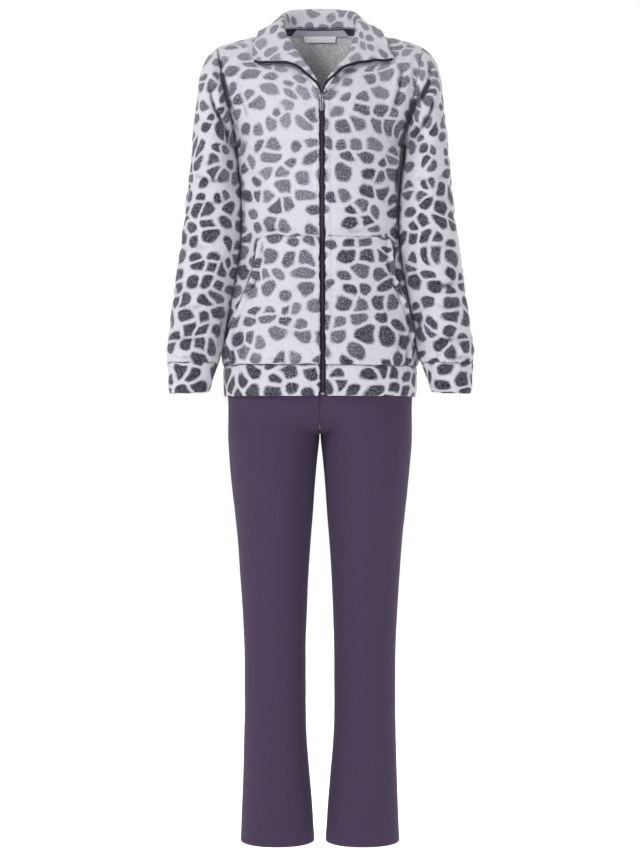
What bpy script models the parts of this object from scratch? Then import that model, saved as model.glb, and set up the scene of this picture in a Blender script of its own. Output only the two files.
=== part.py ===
"""Fleece lounge set: a zipped fleece jacket worn over jersey trousers, filled out with no wearer.

Metres, +Z up.  The front faces -Y, the wearer's left is +X, and the origin is midway between the
two shoulder points.  The tables below hold millimetres; MM turns them into metres at the end.

Every cut-and-sewn piece is a grid of points, rows going up and columns going anticlockwise seen
from above, read from rings or sections of the figure.  Panels that are sewn together share the
points of their seam, so a normal that is averaged over both gives walls that meet in a mitre.
"""

import bpy
import numpy as np
from mathutils import Matrix

MM = 0.001

# ---------------------------------------------------------------- driving sizes, millimetres
FLEECE = 2.8          # wall of a single layer of printed fleece
DOUBLE = 4.2          # wall of the folded hem band and cuffs
COLLAR_LAYER = 2.2    # each of the collar's two layers
JERSEY = 1.5          # wall of the trouser cloth
SEAM_GAP = 0.5        # between two pieces sewn edge to edge
REST_GAP = 0.3        # between a piece and the panel that it lies on

HEM_Z = -637.0        # lower edge of the jacket
BAND_Z = -579.0       # seam of the hem band
ARMPIT_Z = -185.0
SLIDER_Z = -97.0      # where the zip opens
ZIP_TOP_X = 3.0       # the zip hangs a little off centre, more so at the hem
ZIP_HEM_X = 5.0
ZIP_HALF = 5.5        # from the zip's middle to the edge of each front
SHOULDER_POINT = (188.0, 0.0, 5.0)
NECK_POINT = (72.0, 5.0, 36.0)
SHOULDER_BOW = 3.0    # rise of the shoulder seam's middle above its ends' line
CHEST_Z, CHEST_FRONT = -141.0, -115.5     # a point of the fronts' zip edges above the armpit
BLADE_RISE, BLADE_DEPTH = 0.55, 103.0     # the back's fullest point, as a share of armpit to nape

SQUARENESS = 2.35     # exponent of the figure's superelliptic rings
LEG_SQUARENESS = 2.15
ARC_POINTS = 97       # of a ring that is worked out finely before it is shared into columns
FAN_BEND = 1.4        # how early the rows above the armpit turn from the armhole to the shoulder
FAN_FULLNESS = 0.17   # how much fuller those rows are than their chords
MITRE_LIMIT = 0.62    # least cosine that a mitre at a seam is worked out for
WELD_STEPS = 20       # points closer than 1/20 mm are one point of a seam
TIE = 1e-4            # diagonals this close are alike, so that both sides split alike

# Jacket rings below the armpit, with their depths in front of and behind the side seam.
BODY = (
    # z, half width, front, back
    (-637, 175.0, 127, 119),
    (-579, 176.0, 128, 120),
    (-522, 174.0, 126, 117),
    (-465, 164.5, 121, 109),
    (-408, 153.0, 118, 102),
    (-352, 146.0, 118, 98),
    (-296, 145.5, 122, 99),
    (-240, 147.0, 125, 103),
    (-185, 150.0, 122, 109),
)
PANEL_ROWS = (-579, -522, -465, -408, -352, -296, -240, -185)
POCKET_TOP_ROW = 4    # PANEL_ROWS entry of the pocket's top seam
POCKET_COLUMN = 5     # column of each front that runs up the pocket opening
POCKET_FADE_ROWS = 12 # rows over which the columns above the pocket spread out evenly again
FRONT_COLUMNS = 8
NECK_COLUMNS = 4      # half of the back neck
HEM_BAND_ROWS = ((HEM_Z, 1.6), (HEM_Z + 3, 0.3), ((HEM_Z + BAND_Z) / 2, 0.0), (BAND_Z, 0.0))  # z, inset

# Distance of the pocket opening from the centre line, at the first five panel rows.
POCKET_EDGE = {"left": (158, 163, 148, 128, 125), "right": (157, 159, 137, 115, 110)}
POCKET_GAPE = (0.0, 2.0, 3.0, 1.2, 0.0)

# Sleeve rings from the armhole down: the under-arm point, the outer point, and the depth in
# front of and behind their line, whose own distance from the side seam's plane is y.
SLEEVE = (
    # in_x, in_z, out_x, out_z, y, front, back
    (150.0, -185, 188.0, 5, 0, 60, 64),
    (157.0, -186, 206.5, -13, -2, 66, 69),
    (158.0, -196, 219.0, -49, -6, 69, 71),
    (153.5, -216, 225.5, -104, -12, 70, 71),
    (147.4, -246, 232.0, -175, -20, 69, 69),
    (145.4, -286, 239.0, -250, -27, 68, 67),
    (145.4, -330, 247.0, -322, -30, 66, 65),
    (149.0, -385, 256.0, -385, -33, 62, 62),
    (160.8, -448, 264.5, -448, -36, 59, 59),
    (171.5, -503, 271.5, -503, -39, 56, 56),
    (179.0, -545, 276.0, -545, -42, 54, 53),
    (185.5, -575, 276.5, -575, -44, 45, 45),
)
CUFF = (
    (185.5, -575, 276.5, -575, -44, 45, 45),
    (188.0, -584, 275.5, -584, -44, 43, 43),
    (193.5, -606, 274.5, -606, -45, 41, 41),
    (199.5, -625, 273.5, -628, -46, 39, 39),
    (201.0, -627, 272.0, -630, -46, 37.5, 37.5),
)

# Collar sections from the slider to the nape, as (out, y, z): the neck seam, the crest where
# the collar turns over, and the free edge.  Out is measured from the zip's upper end in the first
# ZIP_SECTIONS of each side, and from the centre line in the others.
COLLAR_COLUMNS = ("seam", "crest", "edge")
ZIP_SECTIONS = 6
CREST_NEAR, CREST_FAR, CREST_SHARE = 8.0, 9.0, 0.45   # how far from the crest its roll starts
COLLAR = {
    "right": (
        ((5.5, -105, -97), (5.5, -108, -92), (7.5, -109, -88)),
        ((11, -102, -83), (11.5, -107, -78), (15, -107.5, -76.5)),
        ((20, -93, -66), (20.5, -101, -60), (26.5, -100.5, -61.5)),
        ((32, -80, -47), (32, -88, -40), (47, -86, -44)),
        ((46, -60, -25), (46, -67, -16), (86, -71, -37)),
        ((58, -36, -2), (58, -42, 8), (117, -64, -35)),
        ((68, -14, 20), (66, -17, 33), (122, -41, -7)),
        ((72, 5, 36), (68, 9, 54), (110, -7, 28)),
    ),
    "left": (
        ((5.5, -105, -97), (5.5, -108, -92), (7.5, -109, -88)),
        ((12, -102, -81), (12.5, -107, -76), (15.3, -107.5, -74.5)),
        ((24, -93, -64), (24, -101, -57), (30, -101, -57.5)),
        ((40, -79, -45), (40, -87, -38), (52, -84, -42)),
        ((53, -59, -23), (53, -66, -14), (90, -70, -34)),
        ((61, -35, -1), (58, -42, 8), (127, -59, -29)),
        ((69, -14, 21), (67, -17, 34), (126, -38, -4)),
        ((72, 5, 36), (68, 9, 55), (111, -7, 29)),
    ),
}
NAPE = (
    ((64, 31, 45), (67, 34, 71), (100, 35, 34)),
    ((46, 55, 51), (57, 56, 84), (76, 70, 46)),
    ((24, 67, 53), (31, 73, 90.5), (41, 87, 51)),
    ((0, 70, 53.5), (0, 76, 92), (0, 92, 51)),
)
COLLAR_CORNER = 5     # section at which the zip edge meets the collar's top edge

# Trouser leg rings, with outer and inner distance from the centre and the depth each way.
LEG = (
    # z, outer, inner, front, back
    (-1444.5, 145.5, 10.0, 67, 68),
    (-1365, 142.0, 15.5, 63, 66),
    (-1200, 138.0, 26.0, 60, 63),
    (-1109, 138.0, 26.0, 61, 66),
    (-1036, 141.0, 24.0, 64, 69),
    (-963, 145.5, 21.0, 69, 73),
    (-889, 151.0, 16.0, 77, 81),
    (-760, 164.5, 6.0, 97, 98),
    (-705, 168.0, 0.0, 104, 103),
)
SEAT_Y = 8.0          # the crotch point lies a little behind the side seam
SEAT_START_Z, SEAT_END_Z = -900.0, -705.0     # heights between which the inseam drifts there
# Between the legs' top and the hip rings: the outer seam and both rise seams, row by row.
RISE = (
    # outer, outer_z, front, front_z, back, back_z
    (167.8, -690, -38, -703, 52, -701),
    (167.5, -670, -82, -682, 92, -680),
)
HIPS = (
    # z, half width, front, back
    (-645, 167.5, 116.0, 113.0),
    (-612, 170.6, 121.3, 114.9),
    (-560, 163.0, 115.0, 107.0),
    (-490, 150.0, 106.0, 97.0),
    (-420, 138.0, 100.0, 90.0),
)
WAISTBAND_HEIGHT = 35.0
LEG_HALF_COLUMNS = 6  # of each front and back trouser panel

# Zip: tapes behind the fronts' edges, the closed chain before them, and the open edges.
CHAIN_HALF, CHAIN_DEPTH = 3.0, 2.2
TAPE_REACH, TAPE_DEPTH = 12.0, 0.8
TAPE_CLEARANCE = 0.5
EDGE_WIDTH, EDGE_DEPTH, EDGE_GAP = 4.6, 2.4, 0.8
ZIP_END_Z = HEM_Z + 4.0
STOP_HEIGHT = 5.0
BAND_STEP = 7.0       # height over which the tape comes forward from the band to the fronts

# Slider and pull tab, in a frame at the slider's middle: across, into the body, up the zip.
SLIDER_MIDDLE_Z = -103.5
CHAIN_TOP = 2.4       # the closed chain and the tapes end inside the slider
SLIDER_BOXES = (
    # name, middle, size
    ("face_plate", (0.0, -2.05, -0.5), (9.0, 1.3, 13.0)),
    ("left_flange", (4.0, -0.5, -0.5), (1.0, 2.6, 13.0)),
    ("right_flange", (-4.0, -0.5, -0.5), (1.0, 2.6, 13.0)),
    ("wedge", (0.0, 0.5, 4.5), (2.6, 6.0, 3.0)),
    ("back_plate", (0.0, 3.1, -0.5), (9.0, 1.2, 13.0)),
    ("bridge_top", (0.0, -5.35, 0.0), (1.6, 1.0, 6.4)),
    ("bridge_lower_post", (0.0, -3.9, -2.6), (1.6, 3.4, 1.2)),
    ("bridge_upper_post", (0.0, -3.9, 2.6), (1.6, 3.4, 1.2)),
)
PULL_AXIS = (0.0, -3.75, 0.0)
PULL_BAR_RADIUS = 0.6
PULL_HALF, PULL_LENGTH, PULL_DEPTH = 3.25, 28.0, 1.2
PULL_ARM, PULL_FRAME = 1.2, 5.0
PULL_OVERLAP = 0.5    # of the arms into the plate
PULL_PLAY = 0.2       # of the bar at each side
EYE_SIDES = 16
PULL_EYE_RADIUS, PULL_EYE_DROP = 1.1, 8.0

# Inside the nape: lower and upper edge, as shares of the drop from the neck seam to the next row
# of the back, and the depths below the back's inner face between which the wall lies.
NECK_TAPE_SHARES, NECK_TAPE_WALL = (0.62, 0.14), (0.6, 1.4)
PIPING_SHARES, PIPING_WALL = (0.13, 0.08), (0.6, 2.0)
LABEL_SHARES, LABEL_WALL = (0.98, 0.78, 0.56), (1.8, 2.4)
LABEL_HALF, LABEL_POINTS = 34.0, 7

COLOURS = {
    # name: (linear colour, roughness, metallic)
    "printed_fleece": ((0.60, 0.58, 0.63), 0.95, 0.0),
    "plum_jersey": ((0.075, 0.050, 0.092), 0.90, 0.0),
    "zip_tape": ((0.035, 0.025, 0.036), 0.80, 0.0),
    "zip_coil": ((0.035, 0.025, 0.036), 0.50, 0.0),
    "zip_metal": ((0.50, 0.49, 0.50), 0.35, 1.0),
    "neck_tape": ((0.40, 0.37, 0.47), 0.85, 0.0),
    "piping": ((0.030, 0.020, 0.040), 0.80, 0.0),
    "label": ((0.80, 0.79, 0.80), 0.80, 0.0),
}


# ---------------------------------------------------------------- curves and rings

def curve_through(knots, values, at):
    """Cubic through the knots that never overshoots them, with one column per value."""
    knots = np.asarray(knots, float)
    values = np.asarray(values, float).reshape(len(knots), -1)
    step = np.diff(knots)[:, None]
    slope = np.diff(values, axis=0) / step
    product = slope[1:] * slope[:-1]
    total = np.where(product > 0, slope[1:] + slope[:-1], 1.0)
    middle = np.where(product > 0, 2 * product / total, 0.0)
    tangent = np.vstack([slope[:1], middle, slope[-1:]])
    at = np.atleast_1d(np.asarray(at, float))
    i = np.clip(np.searchsorted(knots, at, side="right") - 1, 0, len(knots) - 2)
    t = ((at - knots[i]) / step[i, 0])[:, None]
    return ((2 * t**3 - 3 * t**2 + 1) * values[i] + (t**3 - 2 * t**2 + t) * step[i] * tangent[i]
            + (3 * t**2 - 2 * t**3) * values[i + 1] + (t**3 - t**2) * step[i] * tangent[i + 1])


def unit(vectors):
    return vectors / np.maximum(np.linalg.norm(vectors, axis=-1, keepdims=True), 1e-9)


def zip_x(z):
    """The zip's middle line leans from the slider to the hem."""
    return np.interp(z, (HEM_Z, SLIDER_Z), (ZIP_HEM_X, ZIP_TOP_X))


def ring_at(table, z):
    """Row of a table of rings, read at any height."""
    return curve_through([row[0] for row in table], [row[1:] for row in table], z)[0]


def lengths_along(points):
    steps = np.linalg.norm(np.diff(points, axis=0), axis=1)
    return np.concatenate([[0.0], np.cumsum(steps)])


def at_fractions(points, fractions):
    """Points at the given fractions of a curve's length."""
    run = lengths_along(points)
    where = np.asarray(fractions) * run[-1]
    return np.stack([np.interp(where, run, points[:, k]) for k in range(3)], axis=1)


def superellipse_arc(z, half, depth, side, start_x=0.0):
    """Quarter of a ring, from start_x at the front or back to the side seam at y = 0."""
    first = np.arccos((abs(start_x) / half) ** (SQUARENESS / 2))
    angle = np.linspace(first, 0.0, ARC_POINTS)
    x = side * half * np.cos(angle) ** (2 / SQUARENESS)
    y = depth * np.sin(angle) ** (2 / SQUARENESS)
    return np.stack([x, y, np.full(ARC_POINTS, float(z))], axis=1)


def hermite(start, end, start_slope, end_slope, u):
    u = np.asarray(u)[:, None]
    return ((2 * u**3 - 3 * u**2 + 1) * start + (u**3 - 2 * u**2 + u) * start_slope
            + (3 * u**2 - 2 * u**3) * end + (u**3 - u**2) * end_slope)


# ---------------------------------------------------------------- jacket body

def sided(point, side, from_zip=False):
    """A table's (out, y, z) as a point on the wearer's left (side 1) or right (side -1)."""
    out, y, z = point
    base = ZIP_TOP_X if from_zip else 0.0
    return np.array([base + side * out, y, z], float)


def tube_section(row, side, angle):
    """Points of one sleeve ring; angle 0 is its outer point, pi its under-arm point."""
    in_x, in_z, out_x, out_z, y, front, back = row
    middle = np.array([(in_x + out_x) / 2, y, (in_z + out_z) / 2])
    reach = np.array([(out_x - in_x) / 2, 0.0, (out_z - in_z) / 2])
    depth = np.where(np.sin(angle) < 0, front, back)
    points = middle + np.cos(angle)[:, None] * reach
    points[:, 1] += depth * np.sin(angle)
    points[:, 0] *= side
    return points


def armhole_half(side, face, steps):
    """Armhole seam from the under-arm point to the shoulder point, in front or behind."""
    return tube_section(SLEEVE[0], side, face * np.linspace(np.pi, 0.0, steps + 1))


def shoulder_seam(side):
    """Shoulder seam from the neck point to the shoulder point, bowed up a little."""
    share = np.linspace(0.0, 1.0, FRONT_COLUMNS + 1)[:, None]
    start, end = sided(NECK_POINT, side), sided(SHOULDER_POINT, side)
    return start + share * (end - start) + 4 * share * (1 - share) * (0.0, 0.0, SHOULDER_BOW)


def fan_rows(inner, outer, bottom, top, fractions, side, face):
    """Rows between the armpit ring and the shoulder.

    Each row is a cubic from the centre edge to the armhole that leaves square to the centre and
    meets the armhole at an angle that opens from 90 degrees under the arm to 0 at the shoulder.
    What the lowest and highest rows lack of the true ring and seam fades in over their neighbours.
    """
    steps = len(inner) - 1
    shoulder = unit(sided(SHOULDER_POINT, side) - sided(NECK_POINT, side))
    square = np.array([side, 0.0, 0.0])
    plain = []
    for j in range(steps + 1):
        v = j / steps
        turn = np.radians(90) * (1 - v) ** FAN_BEND
        chord = np.linalg.norm(outer[j] - inner[j])
        reach = chord * (1 + FAN_FULLNESS * (turn / np.radians(90)) ** 2)
        leave = unit(square * (1 - v) + shoulder * v)
        arrive = square * np.cos(turn) - face * np.array([0.0, np.sin(turn), 0.0])
        arrive = unit(arrive * (1 - v**2) + shoulder * v**2)
        plain.append(hermite(inner[j], outer[j], reach * leave, reach * arrive, fractions[j]))
    rows = []
    for j in range(steps + 1):
        v = j / steps
        low = (bottom - plain[0]) * (1 - v) ** 2
        high = (top - plain[-1]) * v**3
        rows.append(plain[j] + low + high)
    return rows


def front_fractions(side_name, row, arc):
    """Fractions of a front row's columns: one column follows the pocket opening."""
    even = POCKET_COLUMN / FRONT_COLUMNS
    edge_x = POCKET_EDGE[side_name][min(row, POCKET_TOP_ROW)]
    run = lengths_along(arc) / lengths_along(arc)[-1]
    turn = np.interp(edge_x, np.abs(arc[:, 0]), run)
    above = max(row - POCKET_TOP_ROW, 0) / POCKET_FADE_ROWS
    turn = turn + (even - turn) * above
    lower = np.linspace(0.0, turn, POCKET_COLUMN + 1)
    upper = np.linspace(turn, 1.0, FRONT_COLUMNS - POCKET_COLUMN + 1)
    return np.concatenate([lower, upper[1:]])


def front_ring(side_name, z, row):
    """Row of a front below the armpit, with the fractions of its columns."""
    side = 1 if side_name == "left" else -1
    half, front = ring_at(BODY, z)[:2]
    edge_x = zip_x(z) + side * ZIP_HALF
    arc = superellipse_arc(z, half, -front, side, edge_x)
    fractions = front_fractions(side_name, row, arc)
    return at_fractions(arc, fractions), fractions


def seam_points(side_name, column):
    """Seam, crest or edge of the collar from the slider to the neck point."""
    side = 1 if side_name == "left" else -1
    k = COLLAR_COLUMNS.index(column)
    rows = enumerate(COLLAR[side_name])
    return np.array([sided(row[k], side, from_zip=(n < ZIP_SECTIONS)) for n, row in rows])


def front_panel(side_name):
    """Front, rows from the band seam to the shoulder seam, columns from the zip to the side."""
    side = 1 if side_name == "left" else -1
    rings = [front_ring(side_name, z, row) for row, z in enumerate(PANEL_ROWS)]
    neckline = seam_points(side_name, "seam")
    chest = np.array([[zip_x(ARMPIT_Z) + side * ZIP_HALF, rings[-1][0][0, 1], ARMPIT_Z],
                      [zip_x(CHEST_Z) + side * ZIP_HALF, CHEST_FRONT, CHEST_Z]])
    inner = np.vstack([chest, neckline])
    steps = len(inner) - 1
    outer = armhole_half(side, -1, steps)
    start = rings[-1][1]
    even = np.linspace(0.0, 1.0, FRONT_COLUMNS + 1)
    fractions = [start + (even - start) * j / steps for j in range(steps + 1)]
    upper = fan_rows(inner, outer, rings[-1][0], shoulder_seam(side), fractions, side, -1)
    return np.array([ring[0] for ring in rings] + upper[1:])


def nape_points(column):
    """Seam, crest or edge round the nape, from the left neck point to the right one."""
    k = COLLAR_COLUMNS.index(column)
    left = [sided(row[k], 1) for row in NAPE]
    right = [sided(row[k], -1) for row in NAPE[:-1]]
    return np.array(left + right[::-1])


def back_half(side):
    """Half of the back, columns from the centre to the side seam."""
    count = NECK_COLUMNS + FRONT_COLUMNS
    even = np.linspace(0.0, 1.0, count + 1)
    rings = []
    for z in PANEL_ROWS:
        half, _, back = ring_at(BODY, z)
        rings.append(at_fractions(superellipse_arc(z, half, back, side), even))
    steps = len(COLLAR["left"]) + 1
    outer = armhole_half(side, 1, steps)
    nape_y, nape_z = NAPE[-1][0][1:]
    rise = np.linspace(0.0, 1.0, steps + 1)
    depths = (rings[-1][0, 1], BLADE_DEPTH, nape_y)
    centre_y = curve_through((0.0, BLADE_RISE, 1.0), depths, rise)[:, 0]
    inner = np.stack([0 * rise, centre_y, ARMPIT_Z + rise * (nape_z - ARMPIT_Z)], axis=1)
    neck = np.array([sided(row[0], side) for row in NAPE[::-1]])
    top = np.vstack([neck, shoulder_seam(side)])
    upper = fan_rows(inner, outer, rings[-1], top, [even] * (steps + 1), side, 1)
    return np.array(rings + upper[1:])


def back_panel():
    """Whole back, columns from the left side seam to the right one."""
    left, right = back_half(1), back_half(-1)
    return np.concatenate([left[:, ::-1], right[:, 1:]], axis=1)


def hem_band(fronts, back):
    """Band below the body, open at the zip, columns as the panels' lowest row."""
    seam = np.vstack([fronts["left"][0], back[0, 1:-1], fronts["right"][0, ::-1]])
    half, front, rear = ring_at(BODY, BAND_Z)
    rows = []
    for z, inset in HEM_BAND_ROWS:
        wide, fore, aft = ring_at(BODY, z)
        depth = np.where(seam[:, 1] < 0, (fore - inset) / front, (aft - inset) / rear)
        row = seam.copy()
        row[:, 0] *= (wide - inset) / half
        row[:, 1] *= depth
        row[:, 2] = z
        for end, side in ((0, 1), (-1, -1)):
            row[end, 0] = zip_x(z) + side * ZIP_HALF
        rows.append(row)
    return np.array(rows)


# ---------------------------------------------------------------- sleeves and collar

def tube(rows, side):
    """Sleeve or cuff from its rings, lowest first, anticlockwise seen from above."""
    steps = 2 * (len(COLLAR["left"]) + 1)
    angle = np.linspace(0.0, 2 * np.pi, steps, endpoint=False) * side
    return np.array([tube_section(row, side, angle) for row in rows[::-1]])


def collar_section(seam, crest, edge):
    """Seven points from the seam over a rounded crest to the free edge."""
    near = crest + (seam - crest) * min(CREST_SHARE, CREST_NEAR / np.linalg.norm(seam - crest))
    far = crest + (edge - crest) * min(CREST_SHARE, CREST_FAR / np.linalg.norm(edge - crest))
    top = (near + 2 * crest + far) / 4
    return np.array([seam, (seam + near) / 2, near, top, far, (far + edge) / 2, edge])


def collar_grid():
    """Outer face of the collar: columns from the left slider end round the nape to the right."""
    sections = []
    left = [seam_points("left", name) for name in COLLAR_COLUMNS]
    nape = [nape_points(name) for name in COLLAR_COLUMNS]
    right = [seam_points("right", name)[::-1] for name in COLLAR_COLUMNS]
    points = [np.vstack(parts) for parts in zip(left, nape, right)]
    for seam, crest, edge in zip(*points):
        sections.append(collar_section(seam, crest, edge))
    return np.array(sections).transpose(1, 0, 2)


# ---------------------------------------------------------------- trousers

def leg_half(z, outer, inner, depth, side, face):
    """Half a leg ring from the outer seam round the front or back to the inseam."""
    angle = np.linspace(0.0, np.pi, ARC_POINTS)
    reach, middle = (outer - inner) / 2, (outer + inner) / 2
    lean = SEAT_Y * np.sin(angle / 2) ** 2 * np.interp(z, (SEAT_START_Z, SEAT_END_Z), (0.0, 1.0))
    cos, sin = np.cos(angle), np.sin(angle)
    x = middle + reach * np.sign(cos) * np.abs(cos) ** (2 / LEG_SQUARENESS)
    y = face * depth * sin ** (2 / LEG_SQUARENESS) + lean
    arc = np.stack([side * x, y, np.full(ARC_POINTS, float(z))], axis=1)
    return at_fractions(arc, np.linspace(0.0, 1.0, LEG_HALF_COLUMNS + 1))


def hip_quarter(row, side, face):
    """Quarter of a hip ring from the side seam to the centre."""
    z, half, front, back = row
    arc = superellipse_arc(z, half, face * (front if face < 0 else back), side)[::-1]
    return at_fractions(arc, np.linspace(0.0, 1.0, LEG_HALF_COLUMNS + 1))


def trouser_panel(side, face):
    """Front or back of one leg, columns from the outer seam to the inseam and the rise seam."""
    legs = []
    for row in LEG:
        z, outer, inner, front, back = row
        legs.append(leg_half(z, outer, inner, front if face < 0 else back, side, face))
    hips = [hip_quarter(row, side, face) for row in HIPS]
    u = np.linspace(0.0, 1.0, LEG_HALF_COLUMNS + 1)[:, None]
    crotch = []
    for n, (outer, outer_z, front, front_z, back, back_z) in enumerate(RISE):
        v = (n + 1) / (len(RISE) + 1)
        row = legs[-1] * (1 - v) + hips[0] * v
        start = np.array([side * outer, 0.0, outer_z])
        end = np.array([0.0, front if face < 0 else back, front_z if face < 0 else back_z])
        crotch.append(row + (start - row[0]) * (1 - u) ** 3 + (end - row[-1]) * u**3)
    return np.array(legs + crotch + hips)


def waistband_grid():
    """Plain band above the trousers' top ring."""
    top = HIPS[-1]
    quarters = [hip_quarter(top, side, face) for side, face in ((1, -1), (1, 1), (-1, 1), (-1, -1))]
    front_left, back_left, back_right, front_right = quarters
    ring = np.vstack([front_left[::-1][:-1], back_left[:-1], back_right[::-1][:-1], front_right[:-1]])
    rise = np.array([0.0, 0.0, WAISTBAND_HEIGHT])
    return np.array([ring, ring + rise / 2, ring + rise])


# ---------------------------------------------------------------- solids

def cell_corners(rows, columns, closed):
    """Point numbers round each cell of a grid, anticlockwise seen from outside."""
    i, j = np.meshgrid(np.arange(rows - 1), np.arange(columns if closed else columns - 1), indexing="ij")
    k = (j + 1) % columns
    return np.stack([i * columns + j, i * columns + k, (i + 1) * columns + k, (i + 1) * columns + j])


def shorter_diagonals(grid, closed):
    """Whether each cell's diagonal from its first corner is the shorter one."""
    a, b, c, d = grid.reshape(-1, 3)[cell_corners(*grid.shape[:2], closed)]
    return np.linalg.norm(c - a, axis=-1) < np.linalg.norm(d - b, axis=-1) + TIE


def cell_faces(rows, columns, closed, split):
    """Each cell of a grid as two triangles, split along its first diagonal or its second."""
    a, b, c, d = cell_corners(rows, columns, closed)
    first = np.where(split, np.stack([a, b, c]), np.stack([a, b, d]))
    second = np.where(split, np.stack([a, c, d]), np.stack([b, c, d]))
    return np.concatenate([first.reshape(3, -1).T, second.reshape(3, -1).T])


class Cloth:
    """Grid of a piece's outer face, with normals that sewn neighbours share."""

    def __init__(self, grid, closed=False):
        self.grid = np.asarray(grid, float)
        self.closed = closed
        self.split = shorter_diagonals(self.grid, closed)
        self.faces = cell_faces(*self.grid.shape[:2], closed, self.split)
        self.normal = np.zeros_like(self.grid)
        self.mitre = np.ones(self.grid.shape[:2])

    def face_vectors(self):
        p = self.grid.reshape(-1, 3)[self.faces]
        return np.cross(p[:, 1] - p[:, 0], p[:, 2] - p[:, 0])


def share_normals(cloths):
    """Average the face normals of all pieces at each seam point, and find each mitre."""
    total, area = {}, {}
    keys = {}
    for cloth in cloths:
        welded = np.round(cloth.grid.reshape(-1, 3) * WELD_STEPS).astype(int)
        names = keys[id(cloth)] = [tuple(point) for point in welded]
        for corners, vector in zip(cloth.faces, cloth.face_vectors()):
            size = np.linalg.norm(vector)
            for corner in corners:
                key = names[corner]
                total[key] = total.get(key, 0.0) + vector
                area[key] = area.get(key, 0.0) + size
    for cloth in cloths:
        names = keys[id(cloth)]
        sums = np.array([total[key] for key in names])
        sizes = np.array([area[key] for key in names])
        spread = np.linalg.norm(sums, axis=1) / np.maximum(sizes, 1e-9)
        cloth.normal = unit(sums).reshape(cloth.grid.shape)
        cloth.mitre = (1 / np.clip(spread, MITRE_LIMIT, 1.0)).reshape(cloth.grid.shape[:2])


def pull_edges(grid, closed, amount):
    """Draw the grid's borders in, so that pieces sewn edge to edge stay apart."""
    drawn = grid.copy()
    drawn[0] += amount * unit(grid[1] - grid[0])
    drawn[-1] += amount * unit(grid[-2] - grid[-1])
    if not closed:
        drawn[:, 0] += amount * unit(grid[:, 1] - grid[:, 0])
        drawn[:, -1] += amount * unit(grid[:, -2] - grid[:, -1])
    return drawn


def wall_mesh(name, outer, inner, closed, split):
    """Closed wall between an outer and an inner grid of the same shape."""
    rows, columns = outer.shape[:2]
    count = rows * columns
    points = np.concatenate([outer.reshape(-1, 3), inner.reshape(-1, 3)])
    faces = cell_faces(rows, columns, closed, split)
    walls = [faces, faces[:, ::-1] + count]
    index = np.arange(count).reshape(rows, columns)
    loops = [index[0], index[-1][::-1]]
    if not closed:
        loops = [np.concatenate([index[0, :-1], index[:-1, -1], index[-1, :0:-1], index[:0:-1, 0]])]
    for loop in loops:
        a, b = loop, np.roll(loop, -1)
        c, d = a + count, b + count
        short = (np.linalg.norm(points[b] - points[c], axis=1)
                 < np.linalg.norm(points[a] - points[d], axis=1))
        walls.append(np.where(short, np.stack([b, a, c]), np.stack([b, a, d])).T)
        walls.append(np.where(short, np.stack([b, c, d]), np.stack([a, c, d])).T)
    mesh = bpy.data.meshes.new(name)
    mesh.from_pydata((points * MM).tolist(), [], np.concatenate(walls).tolist())
    mesh.validate()
    return mesh


def add_wall(name, material, cloth, near, far, drawn=SEAM_GAP / 2, rows=None, columns=None):
    """Node for the wall between two depths below a piece's outer face."""
    rows, columns = rows or slice(None), columns or slice(None)
    grid = pull_edges(cloth.grid[rows, columns], cloth.closed, drawn)
    inward = -(cloth.normal * cloth.mitre[..., None])[rows, columns]
    near = np.broadcast_to(np.asarray(near, float), grid.shape[:2])[..., None]
    mesh = wall_mesh(name, grid + inward * near, grid + inward * far, cloth.closed, cloth.split)
    return add_object(name, material, mesh)


def add_object(name, material, mesh):
    node = bpy.data.objects.new(name, mesh)
    mesh.materials.append(bpy.data.materials[material])
    bpy.data.collections[COLLECTION].objects.link(node)
    return node


COLLECTION = "fleece_lounge_set"
CUTTERS = "cutters"


def clear_scene():
    for node in list(bpy.data.objects):
        bpy.data.objects.remove(node, do_unlink=True)
    for name in (COLLECTION, CUTTERS):
        group = bpy.data.collections.new(name)
        bpy.context.scene.collection.children.link(group)


def make_materials():
    for name, (colour, roughness, metallic) in COLOURS.items():
        material = bpy.data.materials.new(name)
        material.use_nodes = True
        shader = material.node_tree.nodes["Principled BSDF"]
        shader.inputs["Base Color"].default_value = (*colour, 1.0)
        shader.inputs["Roughness"].default_value = roughness
        shader.inputs["Metallic"].default_value = metallic


# ---------------------------------------------------------------- the garments

def build_jacket():
    """Fronts, back, hem band, sleeves, cuffs and both layers of the collar."""
    fronts = {name: front_panel(name) for name in ("left", "right")}
    back = back_panel()
    cloths = {
        "jacket_front_left": Cloth(fronts["left"]),
        "jacket_front_right": Cloth(fronts["right"][:, ::-1]),
        "jacket_back": Cloth(back),
        "hem_band": Cloth(hem_band(fronts, back)),
        "sleeve_left": Cloth(tube(SLEEVE, 1), closed=True),
        "sleeve_right": Cloth(tube(SLEEVE, -1), closed=True),
        "cuff_left": Cloth(tube(CUFF, 1), closed=True),
        "cuff_right": Cloth(tube(CUFF, -1), closed=True),
        "collar": Cloth(collar_grid()),
    }
    share_normals(list(cloths.values()))
    wall = {"hem_band": DOUBLE, "cuff_left": DOUBLE, "cuff_right": DOUBLE}
    for name, cloth in cloths.items():
        if name != "collar":
            add_wall(name, "printed_fleece", cloth, 0.0, wall.get(name, FLEECE))
    collar = cloths["collar"]
    inner_start = COLLAR_LAYER + REST_GAP
    add_wall("collar_outer", "printed_fleece", collar, 0.0, COLLAR_LAYER)
    add_wall("collar_inner", "printed_fleece", collar, inner_start, inner_start + COLLAR_LAYER)
    return cloths


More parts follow.
